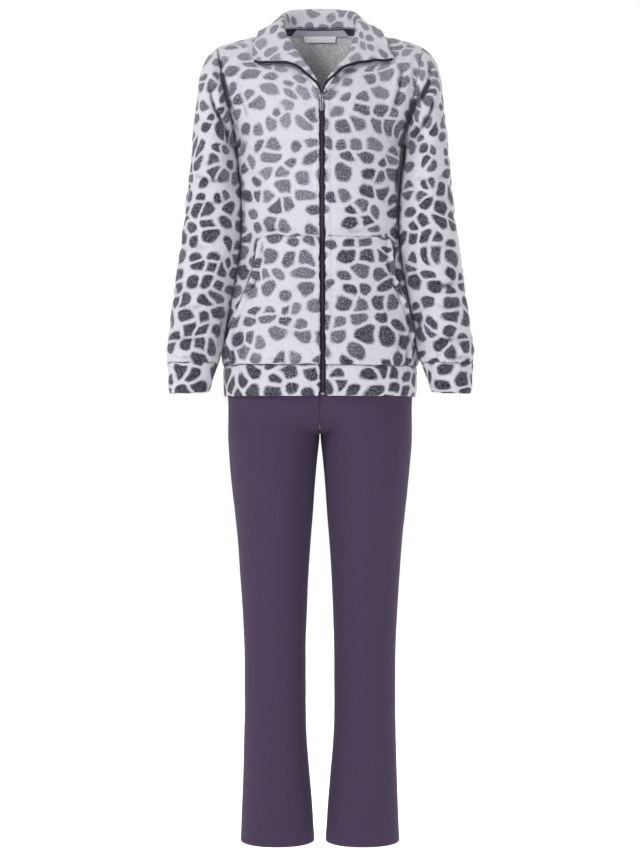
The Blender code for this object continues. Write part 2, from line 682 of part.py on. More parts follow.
def build_pockets(cloths):
    """Patch pockets: the fronts' own points moved out, gaping a little at the opening."""
    for name in ("left", "right"):
        cloth = cloths["jacket_front_" + name]
        rows = slice(0, POCKET_TOP_ROW + 1)
        if name == "left":
            columns, opening = slice(0, POCKET_COLUMN + 1), -1
        else:
            columns, opening = slice(FRONT_COLUMNS - POCKET_COLUMN, FRONT_COLUMNS + 1), 0
        lift = np.zeros(cloth.grid[rows, columns].shape[:2])
        lift[:, opening] = POCKET_GAPE
        outer = -(REST_GAP + FLEECE + lift)
        grid = pull_edges(cloth.grid[rows, columns], False, SEAM_GAP / 2)
        outward = (cloth.normal * cloth.mitre[..., None])[rows, columns]
        cells = cloth.split[rows.start:rows.stop - 1, columns.start:columns.stop - 1]
        mesh = wall_mesh("pocket_" + name, grid - outward * outer[..., None],
                         grid + outward * (REST_GAP + lift[..., None]), False, cells)
        add_object("pocket_" + name, "printed_fleece", mesh)


def zip_face(fronts, band):
    """Height and depth of the fronts' centre edge from the hem to the slider, lowest first."""
    edge = np.vstack([band[:-1, 0], fronts["left"][:, 0]])
    return edge[edge[:, 2] <= SLIDER_Z + 1]


def zip_rows(edge):
    """Heights of the zip's rows, with the depth of the tape's outer face at each."""
    slider_top = SLIDER_MIDDLE_Z + CHAIN_TOP
    low = [ZIP_END_Z, (HEM_Z + BAND_Z) / 2, BAND_Z + SEAM_GAP, BAND_Z + BAND_STEP]
    heights = np.array(low + list(PANEL_ROWS[1:]) + [CHEST_Z, slider_top])
    wall = np.where(heights <= BAND_Z + SEAM_GAP, DOUBLE, FLEECE)
    depth = np.interp(heights, edge[:, 2], edge[:, 1]) + wall + TAPE_CLEARANCE
    return heights, depth


def zip_strip(heights, depth, offsets):
    """Grid along the zip, one column for each offset from its middle line."""
    middle = zip_x(heights)
    columns = [np.stack([middle + offset, depth, heights], axis=1) for offset in offsets]
    return Cloth(np.stack(columns, axis=1))


def build_zip(fronts, band, collar):
    """Tapes, closed chain and bottom stop, and the open edges along the collar."""
    heights, depth = zip_rows(zip_face(fronts, band))
    for name, side in (("left", 1), ("right", -1)):
        offsets = sorted((side * SEAM_GAP, side * TAPE_REACH / 2, side * TAPE_REACH))
        tape = zip_strip(heights, depth, offsets)
        share_normals([tape])
        add_wall("zip_tape_" + name, "zip_tape", tape, 0.0, TAPE_DEPTH, drawn=0.0)
    chain_z = np.concatenate([[ZIP_END_Z + STOP_HEIGHT + SEAM_GAP], heights[1:]])
    chain_y = np.interp(chain_z, heights, depth) - REST_GAP
    chain = zip_strip(chain_z, chain_y - CHAIN_DEPTH, (-CHAIN_HALF, 0.0, CHAIN_HALF))
    share_normals([chain])
    add_wall("zip_chain", "zip_coil", chain, 0.0, CHAIN_DEPTH, drawn=0.0)
    stop_y = np.interp(ZIP_END_Z, heights, depth) - REST_GAP - CHAIN_DEPTH / 2
    stop = box("zip_stop", (zip_x(ZIP_END_Z), stop_y, ZIP_END_Z + STOP_HEIGHT / 2),
               (2 * CHAIN_HALF + 1, CHAIN_DEPTH, STOP_HEIGHT))
    stop.data.materials.append(bpy.data.materials["zip_metal"])
    spans = (("left", slice(0, COLLAR_CORNER + 1)), ("right", slice(-COLLAR_CORNER - 1, None)))
    for name, span in spans:
        edge, before = collar.grid[-1, span], collar.grid[-2, span]
        outward = unit(edge - before)
        corner, beside = (-1, -2) if name == "left" else (0, 1)
        outward[corner] = outward[beside]
        grid = np.stack([edge + EDGE_GAP * outward, edge + (EDGE_GAP + EDGE_WIDTH) * outward])
        strip = Cloth(grid)
        strip.normal = np.stack([collar.normal[-1, span]] * 2)
        middle = COLLAR_LAYER + REST_GAP / 2
        add_wall("zip_edge_" + name, "zip_tape", strip, middle - EDGE_DEPTH / 2, middle + EDGE_DEPTH / 2,
                 drawn=0.0)


def move_to(node, collection):
    for group in list(node.users_collection):
        group.objects.unlink(node)
    bpy.data.collections[collection].objects.link(node)
    return node


def box(name, middle, size, holder=None):
    """Box from a primitive, in metres once scaled, with its sides square to its holder's axes."""
    bpy.ops.mesh.primitive_cube_add(size=1.0)
    node = bpy.context.object
    node.name = node.data.name = name
    node.data.transform(Matrix.Diagonal((*[MM * v for v in size], 1.0)))
    node.parent = holder
    node.location = [MM * v for v in middle]
    return move_to(node, COLLECTION)


def hide_cutter(node):
    node.hide_render = True
    node.display_type = "WIRE"
    move_to(node, CUTTERS)


def combine(target, tool, operation):
    """Exact union or cut, with the tool kept as a hidden cutter."""
    boolean = target.modifiers.new(operation.lower(), "BOOLEAN")
    boolean.operation = operation
    boolean.object = tool
    hide_cutter(tool)


def build_slider(edge_y):
    """Slider round the chain's top, with the bridge that carries the pull tab."""
    lean = np.arctan2(edge_y - CHEST_FRONT, SLIDER_Z - CHEST_Z)
    holder = bpy.data.objects.new("slider_frame", None)
    bpy.data.collections[COLLECTION].objects.link(holder)
    share = (SLIDER_MIDDLE_Z - CHEST_Z) / (SLIDER_Z - CHEST_Z)
    face_y = CHEST_FRONT + (edge_y - CHEST_FRONT) * share
    chain_middle = face_y + FLEECE + TAPE_CLEARANCE - REST_GAP - CHAIN_DEPTH / 2
    holder.location = (MM * ZIP_TOP_X, MM * chain_middle, MM * SLIDER_MIDDLE_Z)
    holder.rotation_euler = (-lean, 0.0, 0.0)
    first, *others = [box("slider_" + name, middle, size, holder) for name, middle, size in SLIDER_BOXES]
    first.name = first.data.name = "zip_slider"
    first.data.materials.append(bpy.data.materials["zip_metal"])
    for other in others:
        combine(first, other, "UNION")
    return holder


def build_pull(holder):
    """Pull tab: a bar under the bridge, two arms that straddle it, and a plate with an eye."""
    hinge = bpy.data.objects.new("pull_hinge", None)
    bpy.data.collections[COLLECTION].objects.link(hinge)
    hinge.parent = holder
    hinge.location = [MM * v for v in PULL_AXIS]
    plate_length = PULL_LENGTH - PULL_FRAME
    plate = box("zip_pull", (0.0, 0.0, -PULL_FRAME - plate_length / 2),
                (2 * PULL_HALF, PULL_DEPTH, plate_length), hinge)
    plate.data.materials.append(bpy.data.materials["zip_metal"])
    arm_x = PULL_HALF - PULL_ARM / 2
    arm_low = PULL_FRAME + PULL_OVERLAP
    for name, side in (("left", 1), ("right", -1)):
        arm = box("pull_arm_" + name, (side * arm_x, 0.0, (PULL_BAR_RADIUS - arm_low) / 2),
                  (PULL_ARM, PULL_DEPTH, arm_low + PULL_BAR_RADIUS), hinge)
        combine(plate, arm, "UNION")
    bar = box("pull_bar", (0.0, 0.0, 0.0),
              (2 * (PULL_HALF - PULL_PLAY), 2 * PULL_BAR_RADIUS, 2 * PULL_BAR_RADIUS), hinge)
    combine(plate, bar, "UNION")
    bpy.ops.mesh.primitive_cylinder_add(vertices=EYE_SIDES, radius=MM * PULL_EYE_RADIUS,
                                        depth=MM * 4 * PULL_DEPTH)
    eye = bpy.context.object
    eye.name = "pull_eye"
    eye.parent = hinge
    eye.location = (0.0, 0.0, -MM * PULL_EYE_DROP)
    eye.rotation_euler = (np.pi / 2, 0.0, 0.0)
    combine(plate, move_to(eye, COLLECTION), "DIFFERENCE")


def inside_back(cloth, share):
    """Inner face of the back between its neck points, a share of a row below the neck seam."""
    inner = cloth.grid - cloth.normal * cloth.mitre[..., None] * FLEECE
    neck = slice(FRONT_COLUMNS, FRONT_COLUMNS + 2 * NECK_COLUMNS + 1)
    upper, lower = -1 - int(share), -2 - int(share)
    part = share - int(share)
    return inner[upper, neck] * (1 - part) + inner[lower, neck] * part


def build_nape(cloth):
    """Neck tape, piping and bare label on the inner face of the back."""
    trims = (("neck_tape", "neck_tape", NECK_TAPE_SHARES, NECK_TAPE_WALL),
             ("neck_piping", "piping", PIPING_SHARES, PIPING_WALL))
    for name, material, shares, wall in trims:
        strip = Cloth(np.array([inside_back(cloth, share) for share in shares]))
        share_normals([strip])
        add_wall(name, material, strip, *wall, drawn=0.0)
    across = np.linspace(LABEL_HALF, -LABEL_HALF, LABEL_POINTS)
    rows = []
    for share in LABEL_SHARES:
        line = inside_back(cloth, share)[::-1]
        levels = [np.interp(across, line[:, 0], line[:, k]) for k in (1, 2)]
        rows.append(np.stack([across, *levels], axis=1))
    label = Cloth(np.array(rows))
    share_normals([label])
    add_wall("neck_label", "label", label, *LABEL_WALL, drawn=0.0)


def build_trousers():
    """Four leg panels and the waistband."""
    legs = {}
    for name, side in (("left", 1), ("right", -1)):
        for part, face in (("front", -1), ("back", 1)):
            grid = trouser_panel(side, face)
            clockwise = side * face < 0
            legs[f"trouser_{part}_{name}"] = Cloth(grid[:, ::-1] if clockwise else grid)
    legs["trouser_waistband"] = Cloth(waistband_grid(), closed=True)
    share_normals(list(legs.values()))
    for name, cloth in legs.items():
        add_wall(name, "plum_jersey", cloth, 0.0, JERSEY)


def main():
    clear_scene()
    make_materials()
    cloths = build_jacket()
    build_pockets(cloths)
    build_nape(cloths["jacket_back"])
    fronts = {"left": cloths["jacket_front_left"].grid}
    build_zip(fronts, cloths["hem_band"].grid, cloths["collar"])
    build_pull(build_slider(COLLAR["left"][0][0][1]))
    build_trousers()


main()
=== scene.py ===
# %% [markdown]
# # A fleece lounge set: a zipped jacket over jersey trousers
# The set hangs in its worn shape with nobody in it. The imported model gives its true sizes. Each
# piece of cloth is worked out again here as a dense surface, from the same rings and sections,
# so that it can carry lumps, seams and folds that a plain solid has no room for.

import bpy
import numpy as np
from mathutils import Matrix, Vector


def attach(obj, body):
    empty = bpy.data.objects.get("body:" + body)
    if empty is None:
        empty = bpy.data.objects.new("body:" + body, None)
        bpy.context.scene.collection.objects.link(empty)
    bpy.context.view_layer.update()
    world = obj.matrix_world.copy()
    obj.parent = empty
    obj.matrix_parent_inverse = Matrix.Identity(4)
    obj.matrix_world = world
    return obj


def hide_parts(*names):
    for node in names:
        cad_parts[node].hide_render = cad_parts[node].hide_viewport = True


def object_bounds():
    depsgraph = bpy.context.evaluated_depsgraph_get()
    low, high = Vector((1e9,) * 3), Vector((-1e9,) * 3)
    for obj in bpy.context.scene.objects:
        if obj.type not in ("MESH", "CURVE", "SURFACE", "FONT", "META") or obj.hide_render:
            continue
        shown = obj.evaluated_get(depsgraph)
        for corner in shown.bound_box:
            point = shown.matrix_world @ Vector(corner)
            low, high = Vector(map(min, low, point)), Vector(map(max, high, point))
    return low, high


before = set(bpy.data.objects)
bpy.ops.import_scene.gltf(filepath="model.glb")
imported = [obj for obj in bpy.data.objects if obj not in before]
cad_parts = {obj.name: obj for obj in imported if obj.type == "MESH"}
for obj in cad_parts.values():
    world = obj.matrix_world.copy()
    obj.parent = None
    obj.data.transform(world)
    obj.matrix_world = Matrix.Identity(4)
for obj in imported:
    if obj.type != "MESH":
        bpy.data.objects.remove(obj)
cad_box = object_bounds()
MM = 0.001
SIDES = {"left": 1, "right": -1}     # the way that each of the wearer's sides lies
print("the set is", [round(1000 * (b - a)) for a, b in zip(*cad_box)], "mm wide, deep and high")

# %% [markdown]
# # Sizes
# A pattern cutter works from a few measures of the figure. The tables hold them in millimetres:
# rings round the body, the sleeves and the legs, and sections across the collar. The front faces
# -Y, the wearer's left is +X, and the origin lies midway between the shoulder points.

# %% Sizes of the jacket
FLEECE, DOUBLE, COLLAR_LAYER, JERSEY = 2.8, 4.2, 2.2, 1.5
SEAM_GAP, REST_GAP, EDGE_REACH = 0.16, 0.3, 0.4
HEM_Z, BAND_Z, POCKET_TOP_Z, ARMPIT_Z, SLIDER_Z = -637.0, -579.0, -352.0, -185.0, -97.0
ZIP_TOP_X, ZIP_HEM_X, ZIP_HALF = 3.0, 5.0, 5.5
SHOULDER_POINT, NECK_POINT, SHOULDER_BOW = (188.0, 0.0, 5.0), (72.0, 5.0, 36.0), 3.0
CHEST_Z, CHEST_FRONT = -141.0, -115.5
BLADE_RISE, BLADE_DEPTH = 0.55, 103.0
SQUARENESS, LEG_SQUARENESS = 2.35, 2.15
FAN_BEND, FAN_FULLNESS = 1.4, 0.17
BODY = (
    # z, half width, front, back
    (-637, 175.0, 127, 119),
    (-579, 176.0, 128, 120),
    (-522, 174.0, 126, 117),
    (-465, 164.5, 121, 109),
    (-408, 153.0, 118, 102),
    (-352, 146.0, 118, 98),
    (-296, 145.5, 122, 99),
    (-240, 147.0, 125, 103),
    (-185, 150.0, 122, 109),
)
POCKET_EDGE = {
    # distance of the opening from the centre, at z of -579, -522, -465, -408 and -352
    "left": (158, 163, 148, 128, 125),
    "right": (157, 159, 137, 115, 110),
}
SLEEVE = (
    # in_x, in_z, out_x, out_z, y, front, back
    (150.0, -185, 188.0, 5, 0, 60, 64),
    (157.0, -186, 206.5, -13, -2, 66, 69),
    (158.0, -196, 219.0, -49, -6, 69, 71),
    (153.5, -216, 225.5, -104, -12, 70, 71),
    (147.4, -246, 232.0, -175, -20, 69, 69),
    (145.4, -286, 239.0, -250, -27, 68, 67),
    (145.4, -330, 247.0, -322, -30, 66, 65),
    (149.0, -385, 256.0, -385, -33, 62, 62),
    (160.8, -448, 264.5, -448, -36, 59, 59),
    (171.5, -503, 271.5, -503, -39, 56, 56),
    (179.0, -545, 276.0, -545, -42, 54, 53),
    (185.5, -575, 276.5, -575, -44, 45, 45),
)
CUFF = (
    (185.5, -575, 276.5, -575, -44, 45, 45),
    (188.0, -584, 275.5, -584, -44, 43, 43),
    (193.5, -606, 274.5, -606, -45, 41, 41),
    (199.5, -625, 273.5, -628, -46, 39, 39),
    (201.0, -627, 272.0, -630, -46, 37.5, 37.5),
)
COLLAR = {
    # (out, y, z) of the neck seam, the crest and the free edge, from the slider to the shoulder
    "right": (
        ((5.5, -105, -97), (5.5, -108, -92), (7.5, -109, -88)),
        ((11, -102, -83), (11.5, -107, -78), (15, -107.5, -76.5)),
        ((20, -93, -66), (20.5, -101, -60), (26.5, -100.5, -61.5)),
        ((32, -80, -47), (32, -88, -40), (47, -86, -44)),
        ((46, -60, -25), (46, -67, -16), (86, -71, -37)),
        ((58, -36, -2), (58, -42, 8), (117, -64, -35)),
        ((68, -14, 20), (66, -17, 33), (122, -41, -7)),
        ((72, 5, 36), (68, 9, 54), (110, -7, 28)),
    ),
    "left": (
        ((5.5, -105, -97), (5.5, -108, -92), (7.5, -109, -88)),
        ((12, -102, -81), (12.5, -107, -76), (15.3, -107.5, -74.5)),
        ((24, -93, -64), (24, -101, -57), (30, -101, -57.5)),
        ((40, -79, -45), (40, -87, -38), (52, -84, -42)),
        ((53, -59, -23), (53, -66, -14), (90, -70, -34)),
        ((61, -35, -1), (58, -42, 8), (127, -59, -29)),
        ((69, -14, 21), (67, -17, 34), (126, -38, -4)),
        ((72, 5, 36), (68, 9, 55), (111, -7, 29)),
    ),
}
NAPE = (
    ((64, 31, 45), (67, 34, 71), (100, 35, 34)),
    ((46, 55, 51), (57, 56, 84), (76, 70, 46)),
    ((24, 67, 53), (31, 73, 90.5), (41, 87, 51)),
    ((0, 70, 53.5), (0, 76, 92), (0, 92, 51)),
)
ZIP_SECTIONS, CORNER_SECTION = 6, 5
print(len(BODY), "body rings,", len(SLEEVE) + len(CUFF), "sleeve rings")

# %% Sizes of the trousers and the zip
LEG = (
    # z, outer, inner, front, back
    (-1444.5, 145.5, 10.0, 67, 68),
    (-1365, 142.0, 15.5, 63, 66),
    (-1200, 138.0, 26.0, 60, 63),
    (-1109, 138.0, 26.0, 61, 66),
    (-1036, 141.0, 24.0, 64, 69),
    (-963, 145.5, 21.0, 69, 73),
    (-889, 151.0, 16.0, 77, 81),
    (-760, 164.5, 6.0, 97, 98),
    (-705, 168.0, 0.0, 104, 103),
)
SEAT_Y, SEAT_START_Z, SEAT_END_Z = 8.0, -900.0, -705.0
RISE = (
    # outer, outer_z, front, front_z, back, back_z
    (167.8, -690, -38, -703, 52, -701),
    (167.5, -670, -82, -682, 92, -680),
)
HIPS = (
    # z, half width, front, back
    (-645, 167.5, 116.0, 113.0),
    (-612, 170.6, 121.3, 114.9),
    (-560, 163.0, 115.0, 107.0),
    (-490, 150.0, 106.0, 97.0),
    (-420, 138.0, 100.0, 90.0),
)
WAISTBAND_HEIGHT = 35.0
TAPE_REACH, TAPE_DEPTH, TAPE_CLEARANCE, CHAIN_DEPTH = 12.0, 0.8, 0.5, 2.2
EDGE_GAP, EDGE_WIDTH, STOP_HEIGHT = 0.8, 4.6, 5.0
SLIDER_MIDDLE_Z, HINGE_DEPTH = -103.5, -3.75
print("the legs are", round(LEG[0][1] - LEG[0][2]), "mm wide at the hem")

# %% [markdown]
# # Curves
# Two curves carry every shape. One never overshoots its points, as a tailor's curve laid along
# measured widths. The other bends least of all, as a thin strip of wood does, for seams.

# %% Curves through points
def unit(vectors):
    """Vectors of length one in the same directions."""
    return vectors / np.maximum(np.linalg.norm(vectors, axis=-1, keepdims=True), 1e-9)


def steady(knots, values, at):
    """Cubic through the knots that never overshoots: its slope at a knot is the harmonic mean of
    the slopes beside it, and nought where they differ in sign."""
    knots = np.asarray(knots, float)
    values = np.asarray(values, float).reshape(len(knots), -1)
    step = np.diff(knots)[:, None]
    slope = np.diff(values, axis=0) / step
    product, total = slope[1:] * slope[:-1], slope[1:] + slope[:-1]
    middle = np.where(product > 0, 2 * product / np.where(product > 0, total, 1.0), 0.0)
    tangent = np.vstack([slope[:1], middle, slope[-1:]])
    at = np.atleast_1d(np.asarray(at, float))
    i = np.clip(np.searchsorted(knots, at, side="right") - 1, 0, len(knots) - 2)
    t = ((at - knots[i]) / step[i, 0])[:, None]
    return ((2 * t**3 - 3 * t**2 + 1) * values[i] + (t**3 - 2 * t**2 + t) * step[i] * tangent[i]
            + (3 * t**2 - 2 * t**3) * values[i + 1] + (t**3 - t**2) * step[i] * tangent[i + 1])


def spline(knots, values, at):
    """Natural cubic spline: its second slopes solve one small set of linear equations, and it
    blends the two nearest points and their second slopes."""
    knots = np.asarray(knots, float)
    values = np.asarray(values, float)
    n, h = len(knots), np.diff(knots)
    left, right = np.eye(n), np.zeros((n, n))
    i = np.arange(1, n - 1)
    left[i, i - 1], left[i, i], left[i, i + 1] = h[:-1], 2 * (h[:-1] + h[1:]), h[1:]
    right[i, i - 1], right[i, i + 1] = 6 / h[:-1], 6 / h[1:]
    right[i, i] = -6 / h[:-1] - 6 / h[1:]
    flat = values.reshape(n, -1)
    bend = np.linalg.solve(left, right @ flat)
    at = np.asarray(at, float)
    j = np.clip(np.searchsorted(knots, at, side="right") - 1, 0, n - 2)
    f = ((at - knots[j]) / h[j])[:, None]
    g = 1 - f
    scale = (h[j] ** 2 / 6)[:, None]
    found = g * flat[j] + f * flat[j + 1] + scale * ((g**3 - g) * bend[j] + (f**3 - f) * bend[j + 1])
    return found.reshape(len(at), *values.shape[1:])


def steps(points, axis=0):
    """Distance from every point to the next one."""
    return np.linalg.norm(np.diff(points, axis=axis), axis=-1)


def running(values, axis=0):
    """Sum of the values so far, which starts at nought."""
    ends = [(0, 0)] * np.ndim(values)
    ends[axis] = (1, 0)
    return np.pad(np.cumsum(values, axis=axis), ends)


def chord(points):
    """Share of the way along a row of points, or the mean over several rows of points."""
    run = running(steps(points).reshape(len(points) - 1, -1).mean(axis=1))
    return run / run[-1]


def sample_line(points, where):
    """Points between the given ones, at places counted in whole and part points."""
    low = np.clip(where.astype(int), 0, len(points) - 2)
    part = (where - low)[:, None]
    return points[low] * (1 - part) + points[low + 1] * part


def evenly(points, count):
    """The same line, with points at even distances along it."""
    return sample_line(points, np.interp(np.linspace(0, 1, count), chord(points), np.arange(len(points))))


def hermite(start, end, leave, arrive, u):
    """Cubic from start to end that leaves and arrives along the given slopes."""
    return ((2 * u**3 - 3 * u**2 + 1) * start + (u**3 - 2 * u**2 + u) * leave
            + (3 * u**2 - 2 * u**3) * end + (u**3 - u**2) * arrive)


def squared(values, power):
    """Cosines or sines drawn out towards one, which squares a circle's corners."""
    return np.sign(values) * np.abs(values) ** power


def soften(grid, passes):
    """Each row becomes a quarter of each neighbour and half of itself; the end rows stay."""
    for _ in range(passes):
        grid = np.concatenate([grid[:1], (grid[:-2] + 2 * grid[1:-1] + grid[2:]) / 4, grid[-1:]])
    return grid


hill = spline((0, 1, 2), np.array([[0.0], [1.0], [0.0]]), [0.5])
print("a curve through 0, 1, 0 is", hill[0], "halfway up")

# %% [markdown]
# # From surface to cloth
# Cloth is a wall with two faces and a rounded edge. The grid of a piece's face has rows that go
# up and columns that go anticlockwise seen from above, so that its cross product points out. Its
# flat map holds the distance along each row and column, which is how printed cloth is cut, so
# the spots keep their size wherever the cloth goes.

# %% Grids, normals and flat maps
def slopes(grid, axis, closed=False):
    """From the point before to the point after; only the direction is used."""
    if closed:
        return np.roll(grid, -1, axis) - np.roll(grid, 1, axis)
    return np.gradient(grid, axis=axis)


def normals(grid, closed=False):
    """Unit cross product of the slope along the row and the slope up the column."""
    return unit(np.cross(slopes(grid, 1, closed), slopes(grid, 0)))


def flat_map(grid, closed=False, start_column=0, corner=(0.0, 0.0)):
    """Unrolls the cloth, in metres. Along a row it goes by the row's length. From row to row it
    rises by the part of the step that is square to the row, and the start column drifts along
    by the rest of the step, so that a slanting edge stays slanting."""
    wide = np.concatenate([grid, grid[:, :1]], axis=1) if closed else grid
    tangent = unit(np.gradient(wide, axis=1))
    step = np.diff(wide, axis=0)
    drift = (step * (tangent[1:] + tangent[:-1]) / 2).sum(axis=-1)
    rise = np.sqrt(np.maximum((step**2).sum(axis=-1) - drift**2, 0))
    u, v = running(steps(wide, 1), 1), running(rise)
    u = u - u[:, start_column:start_column + 1] + running(drift[:, start_column])[:, None]
    return np.stack([u, v], axis=-1) * MM + np.array(corner)


def border_distance(grid, closed=False):
    """Distance of every point from the foot, the top, the first and the last column."""
    up = running(steps(grid))
    found = {"foot": up, "top": up[-1] - up}
    if not closed:
        along = running(steps(grid, 1), 1)
        found.update(first=along, last=along[:, -1:] - along)
    return found


def draw_in(grid, closed, amount):
    """The borders move inwards along the surface, to leave room for the rounded edge."""
    amount = np.broadcast_to(amount, grid.shape[:2])[..., None]
    drawn = grid.copy()
    drawn[0] += amount[0] * unit(grid[1] - grid[0])
    drawn[-1] += amount[-1] * unit(grid[-2] - grid[-1])
    if not closed:
        drawn[:, 0] += amount[:, 0] * unit(grid[:, 1] - grid[:, 0])
        drawn[:, -1] += amount[:, -1] * unit(grid[:, -2] - grid[:, -1])
    return drawn


test_grid = np.moveaxis(np.mgrid[0:1:1, 0:11:5, 0:11:5].astype(float)[::-1, 0], 0, -1)
print("a square of 10 mm unrolls to", np.ptp(flat_map(test_grid)[..., 0]) / MM, "mm")


# %% Meshes and walls
def mesh_object(name, points, faces, maps, materials, kinds=None):
    """Points in millimetres and lists of face corners, put into a mesh with its flat map."""
    mesh = bpy.data.meshes.new(name)
    mesh.from_pydata((points * MM).tolist(), [], faces)
    mesh.polygons.foreach_set("use_smooth", np.ones(len(mesh.polygons), bool))
    layer = mesh.uv_layers.new(name="cloth")
    layer.data.foreach_set("uv", maps.astype(np.float32).ravel())
    if kinds is not None:
        mesh.polygons.foreach_set("material_index", kinds.astype(np.int32))
    for material in materials:
        mesh.materials.append(material)
    mesh.update()
    piece = bpy.data.objects.new(name, mesh)
    bpy.context.scene.collection.objects.link(piece)
    return piece


def grid_index(rows, columns, closed):
    """The number of each point; where a grid closes, its first column comes again at the end."""
    across = np.arange(columns + 1 if closed else columns) % columns
    return np.arange(rows)[:, None] * columns + across


def corners(values):
    """The four corners of every cell, anticlockwise seen from outside."""
    cells = [values[:-1, :-1], values[:-1, 1:], values[1:, 1:], values[1:, :-1]]
    return np.stack(cells, axis=2).reshape(-1, 4, *values.shape[2:])


def border_chains(values, closed):
    """Each border as one run of values, anticlockwise, that ends where it began."""
    if closed:
        return [values[0], values[-1, ::-1]]
    runs = [values[0, :-1], values[:-1, -1], values[-1, :0:-1], values[:0:-1, 0], values[0, :1]]
    return [np.concatenate(runs)]


RIM_STEPS = 2         # rows of points round an edge, between its two corners


def wall(name, outer, depth, uv, materials, closed=False, reach=EDGE_REACH, lean=None):
    """Outer face, inner face a depth below it, and rounded borders between them: a border point
    turns about the wall's middle from the outer normal, by way of a short reach outwards, to the
    inner one. Where an edge leans, its inner corner lies that much further out, as at a seam
    whose two layers overlap."""
    rows, columns = outer.shape[:2]
    count = rows * columns
    normal = normals(outer, closed)
    depth = np.broadcast_to(np.asarray(depth, float), outer.shape[:2])[..., None]
    away = np.zeros_like(outer)
    away[0] += unit(outer[0] - outer[1])
    away[-1] += unit(outer[-1] - outer[-2])
    if not closed:
        away[:, 0] += unit(outer[:, 0] - outer[:, 1])
        away[:, -1] += unit(outer[:, -1] - outer[:, -2])
    away = unit(away)
    tilt = away * (0.0 if lean is None else lean[..., None])
    reach = np.broadcast_to(reach, outer.shape[:2])[..., None]
    index = grid_index(rows, columns, closed)
    points = [outer.reshape(-1, 3), (outer - normal * depth + tilt).reshape(-1, 3)]
    faces = [corners(index), corners(index)[:, ::-1] + count]
    maps = [corners(uv), corners(uv)[:, ::-1]]
    total = 2 * count
    for loop, flat in zip(border_chains(index, closed), border_chains(uv, closed)):
        inside = loop[:-1]
        pick = (inside // columns, inside % columns)
        middle, half = (outer - normal * depth / 2)[pick], (depth / 2)[pick]
        rings = [loop]
        for k in range(1, RIM_STEPS + 1):
            turn = np.pi * k / (RIM_STEPS + 1)
            points.append(middle + half * np.cos(turn) * normal[pick]
                          + reach[pick] * np.sin(turn) * away[pick]
                          + (1 - np.cos(turn)) / 2 * tilt[pick])
            rings.append(total + np.arange(len(loop)) % len(inside))
            total += len(inside)
        rings.append(loop + count)
        for near, far in zip(rings[:-1], rings[1:]):
            faces.append(np.stack([near[1:], near[:-1], far[:-1], far[1:]], axis=1))
            maps.append(np.stack([flat[1:], flat[:-1], flat[:-1], flat[1:]], axis=1))
    cells = len(faces[0])
    kinds = np.zeros(sum(len(f) for f in faces), int)
    if len(materials) > 1:
        kinds[cells:2 * cells] = 1
    points, faces, maps = (np.concatenate(parts) for parts in (points, faces, maps))
    return mesh_object(name, points, faces.tolist(), maps, materials, kinds)


print("the edge of a wall turns in", RIM_STEPS + 1, "steps")

# %% [markdown]
# # Lumps, seams and folds
# Fleece is thick and never lies quite flat: it has soft lumps a finger wide, it sinks into its seams, and it
# folds where an arm meets the body. Lumps come from smooth noise, which is the same for both pieces at a
# seam. Each fold is given as a soft trough or ridge along a line, in the direction from which it is seen.

# %% Noise, seams and folds
SEAM_DEPTH = 1.4


def lattice(cell, seed):
    """A number from -1 to 1 for each corner of a cubic lattice, from whole-number mixing."""
    mixed = (cell.astype(np.int64) * np.array([73856093, 19349663, 83492791])).sum(axis=-1)
    mixed = (mixed + seed * 2654435) & 0xFFFFFFFF
    mixed = ((mixed ^ (mixed >> 15)) * 2246822519) & 0xFFFFFFFF
    mixed = ((mixed ^ (mixed >> 13)) * 3266489917) & 0xFFFFFFFF
    return ((mixed ^ (mixed >> 16)) & 0xFFFF) / 32767.5 - 1


def lumps(points, size, seed):
    """Smooth noise: each point blends its lattice cell's eight corners by the fifth-power curve."""
    where = points / size
    cell = np.floor(where)
    part = where - cell
    part = part**3 * (part * (part * 6 - 15) + 10)
    total = 0.0
    for corner in np.ndindex(2, 2, 2):
        weight = np.prod(np.where(corner, part, 1 - part), axis=-1)
        total = total + weight * lattice(cell + np.array(corner), seed)
    return total


def fleece_relief(points):
    """Soft lumps as wide as a finger, with smaller ones on them."""
    return 1.5 * lumps(points, 31, 1) + 1.1 * lumps(points, 14, 2) + 0.4 * lumps(points, 7.5, 3)


def bell(distance, width):
    """One at no distance, and fading on both sides: e to the minus square of the distance's share
    of the width."""
    return np.exp(-(distance / width) ** 2)


def rising(value, start, length):
    """Nought up to the start, one from a length past it, and straight between them."""
    return np.clip((value - start) / length, 0, 1)


def seam_dip(grid, borders, closed=False, depth=SEAM_DEPTH, width=3.4):
    """How far the cloth sinks towards its seams: a bell curve of the distance, pinched unevenly."""
    distance = border_distance(grid, closed)
    pinch = 1 + 0.8 * lumps(grid, 12, 5)
    dip = np.zeros(grid.shape[:2])
    for border in borders:
        dip = np.maximum(dip, bell(distance[border], width))
    return depth * pinch * dip


VIEWS = {  # the two axes that are seen, and the way that faces the viewer
    "front": ((0, 2), (0, -1, 0)), "back": ((0, 2), (0, 1, 0)),
    "left": ((1, 2), (1, 0, 0)), "right": ((1, 2), (-1, 0, 0)),
}
FOLD_POINTS = 48
FACING_LIMIT = 0.45   # a fold is full where the cloth faces the view by this much or more


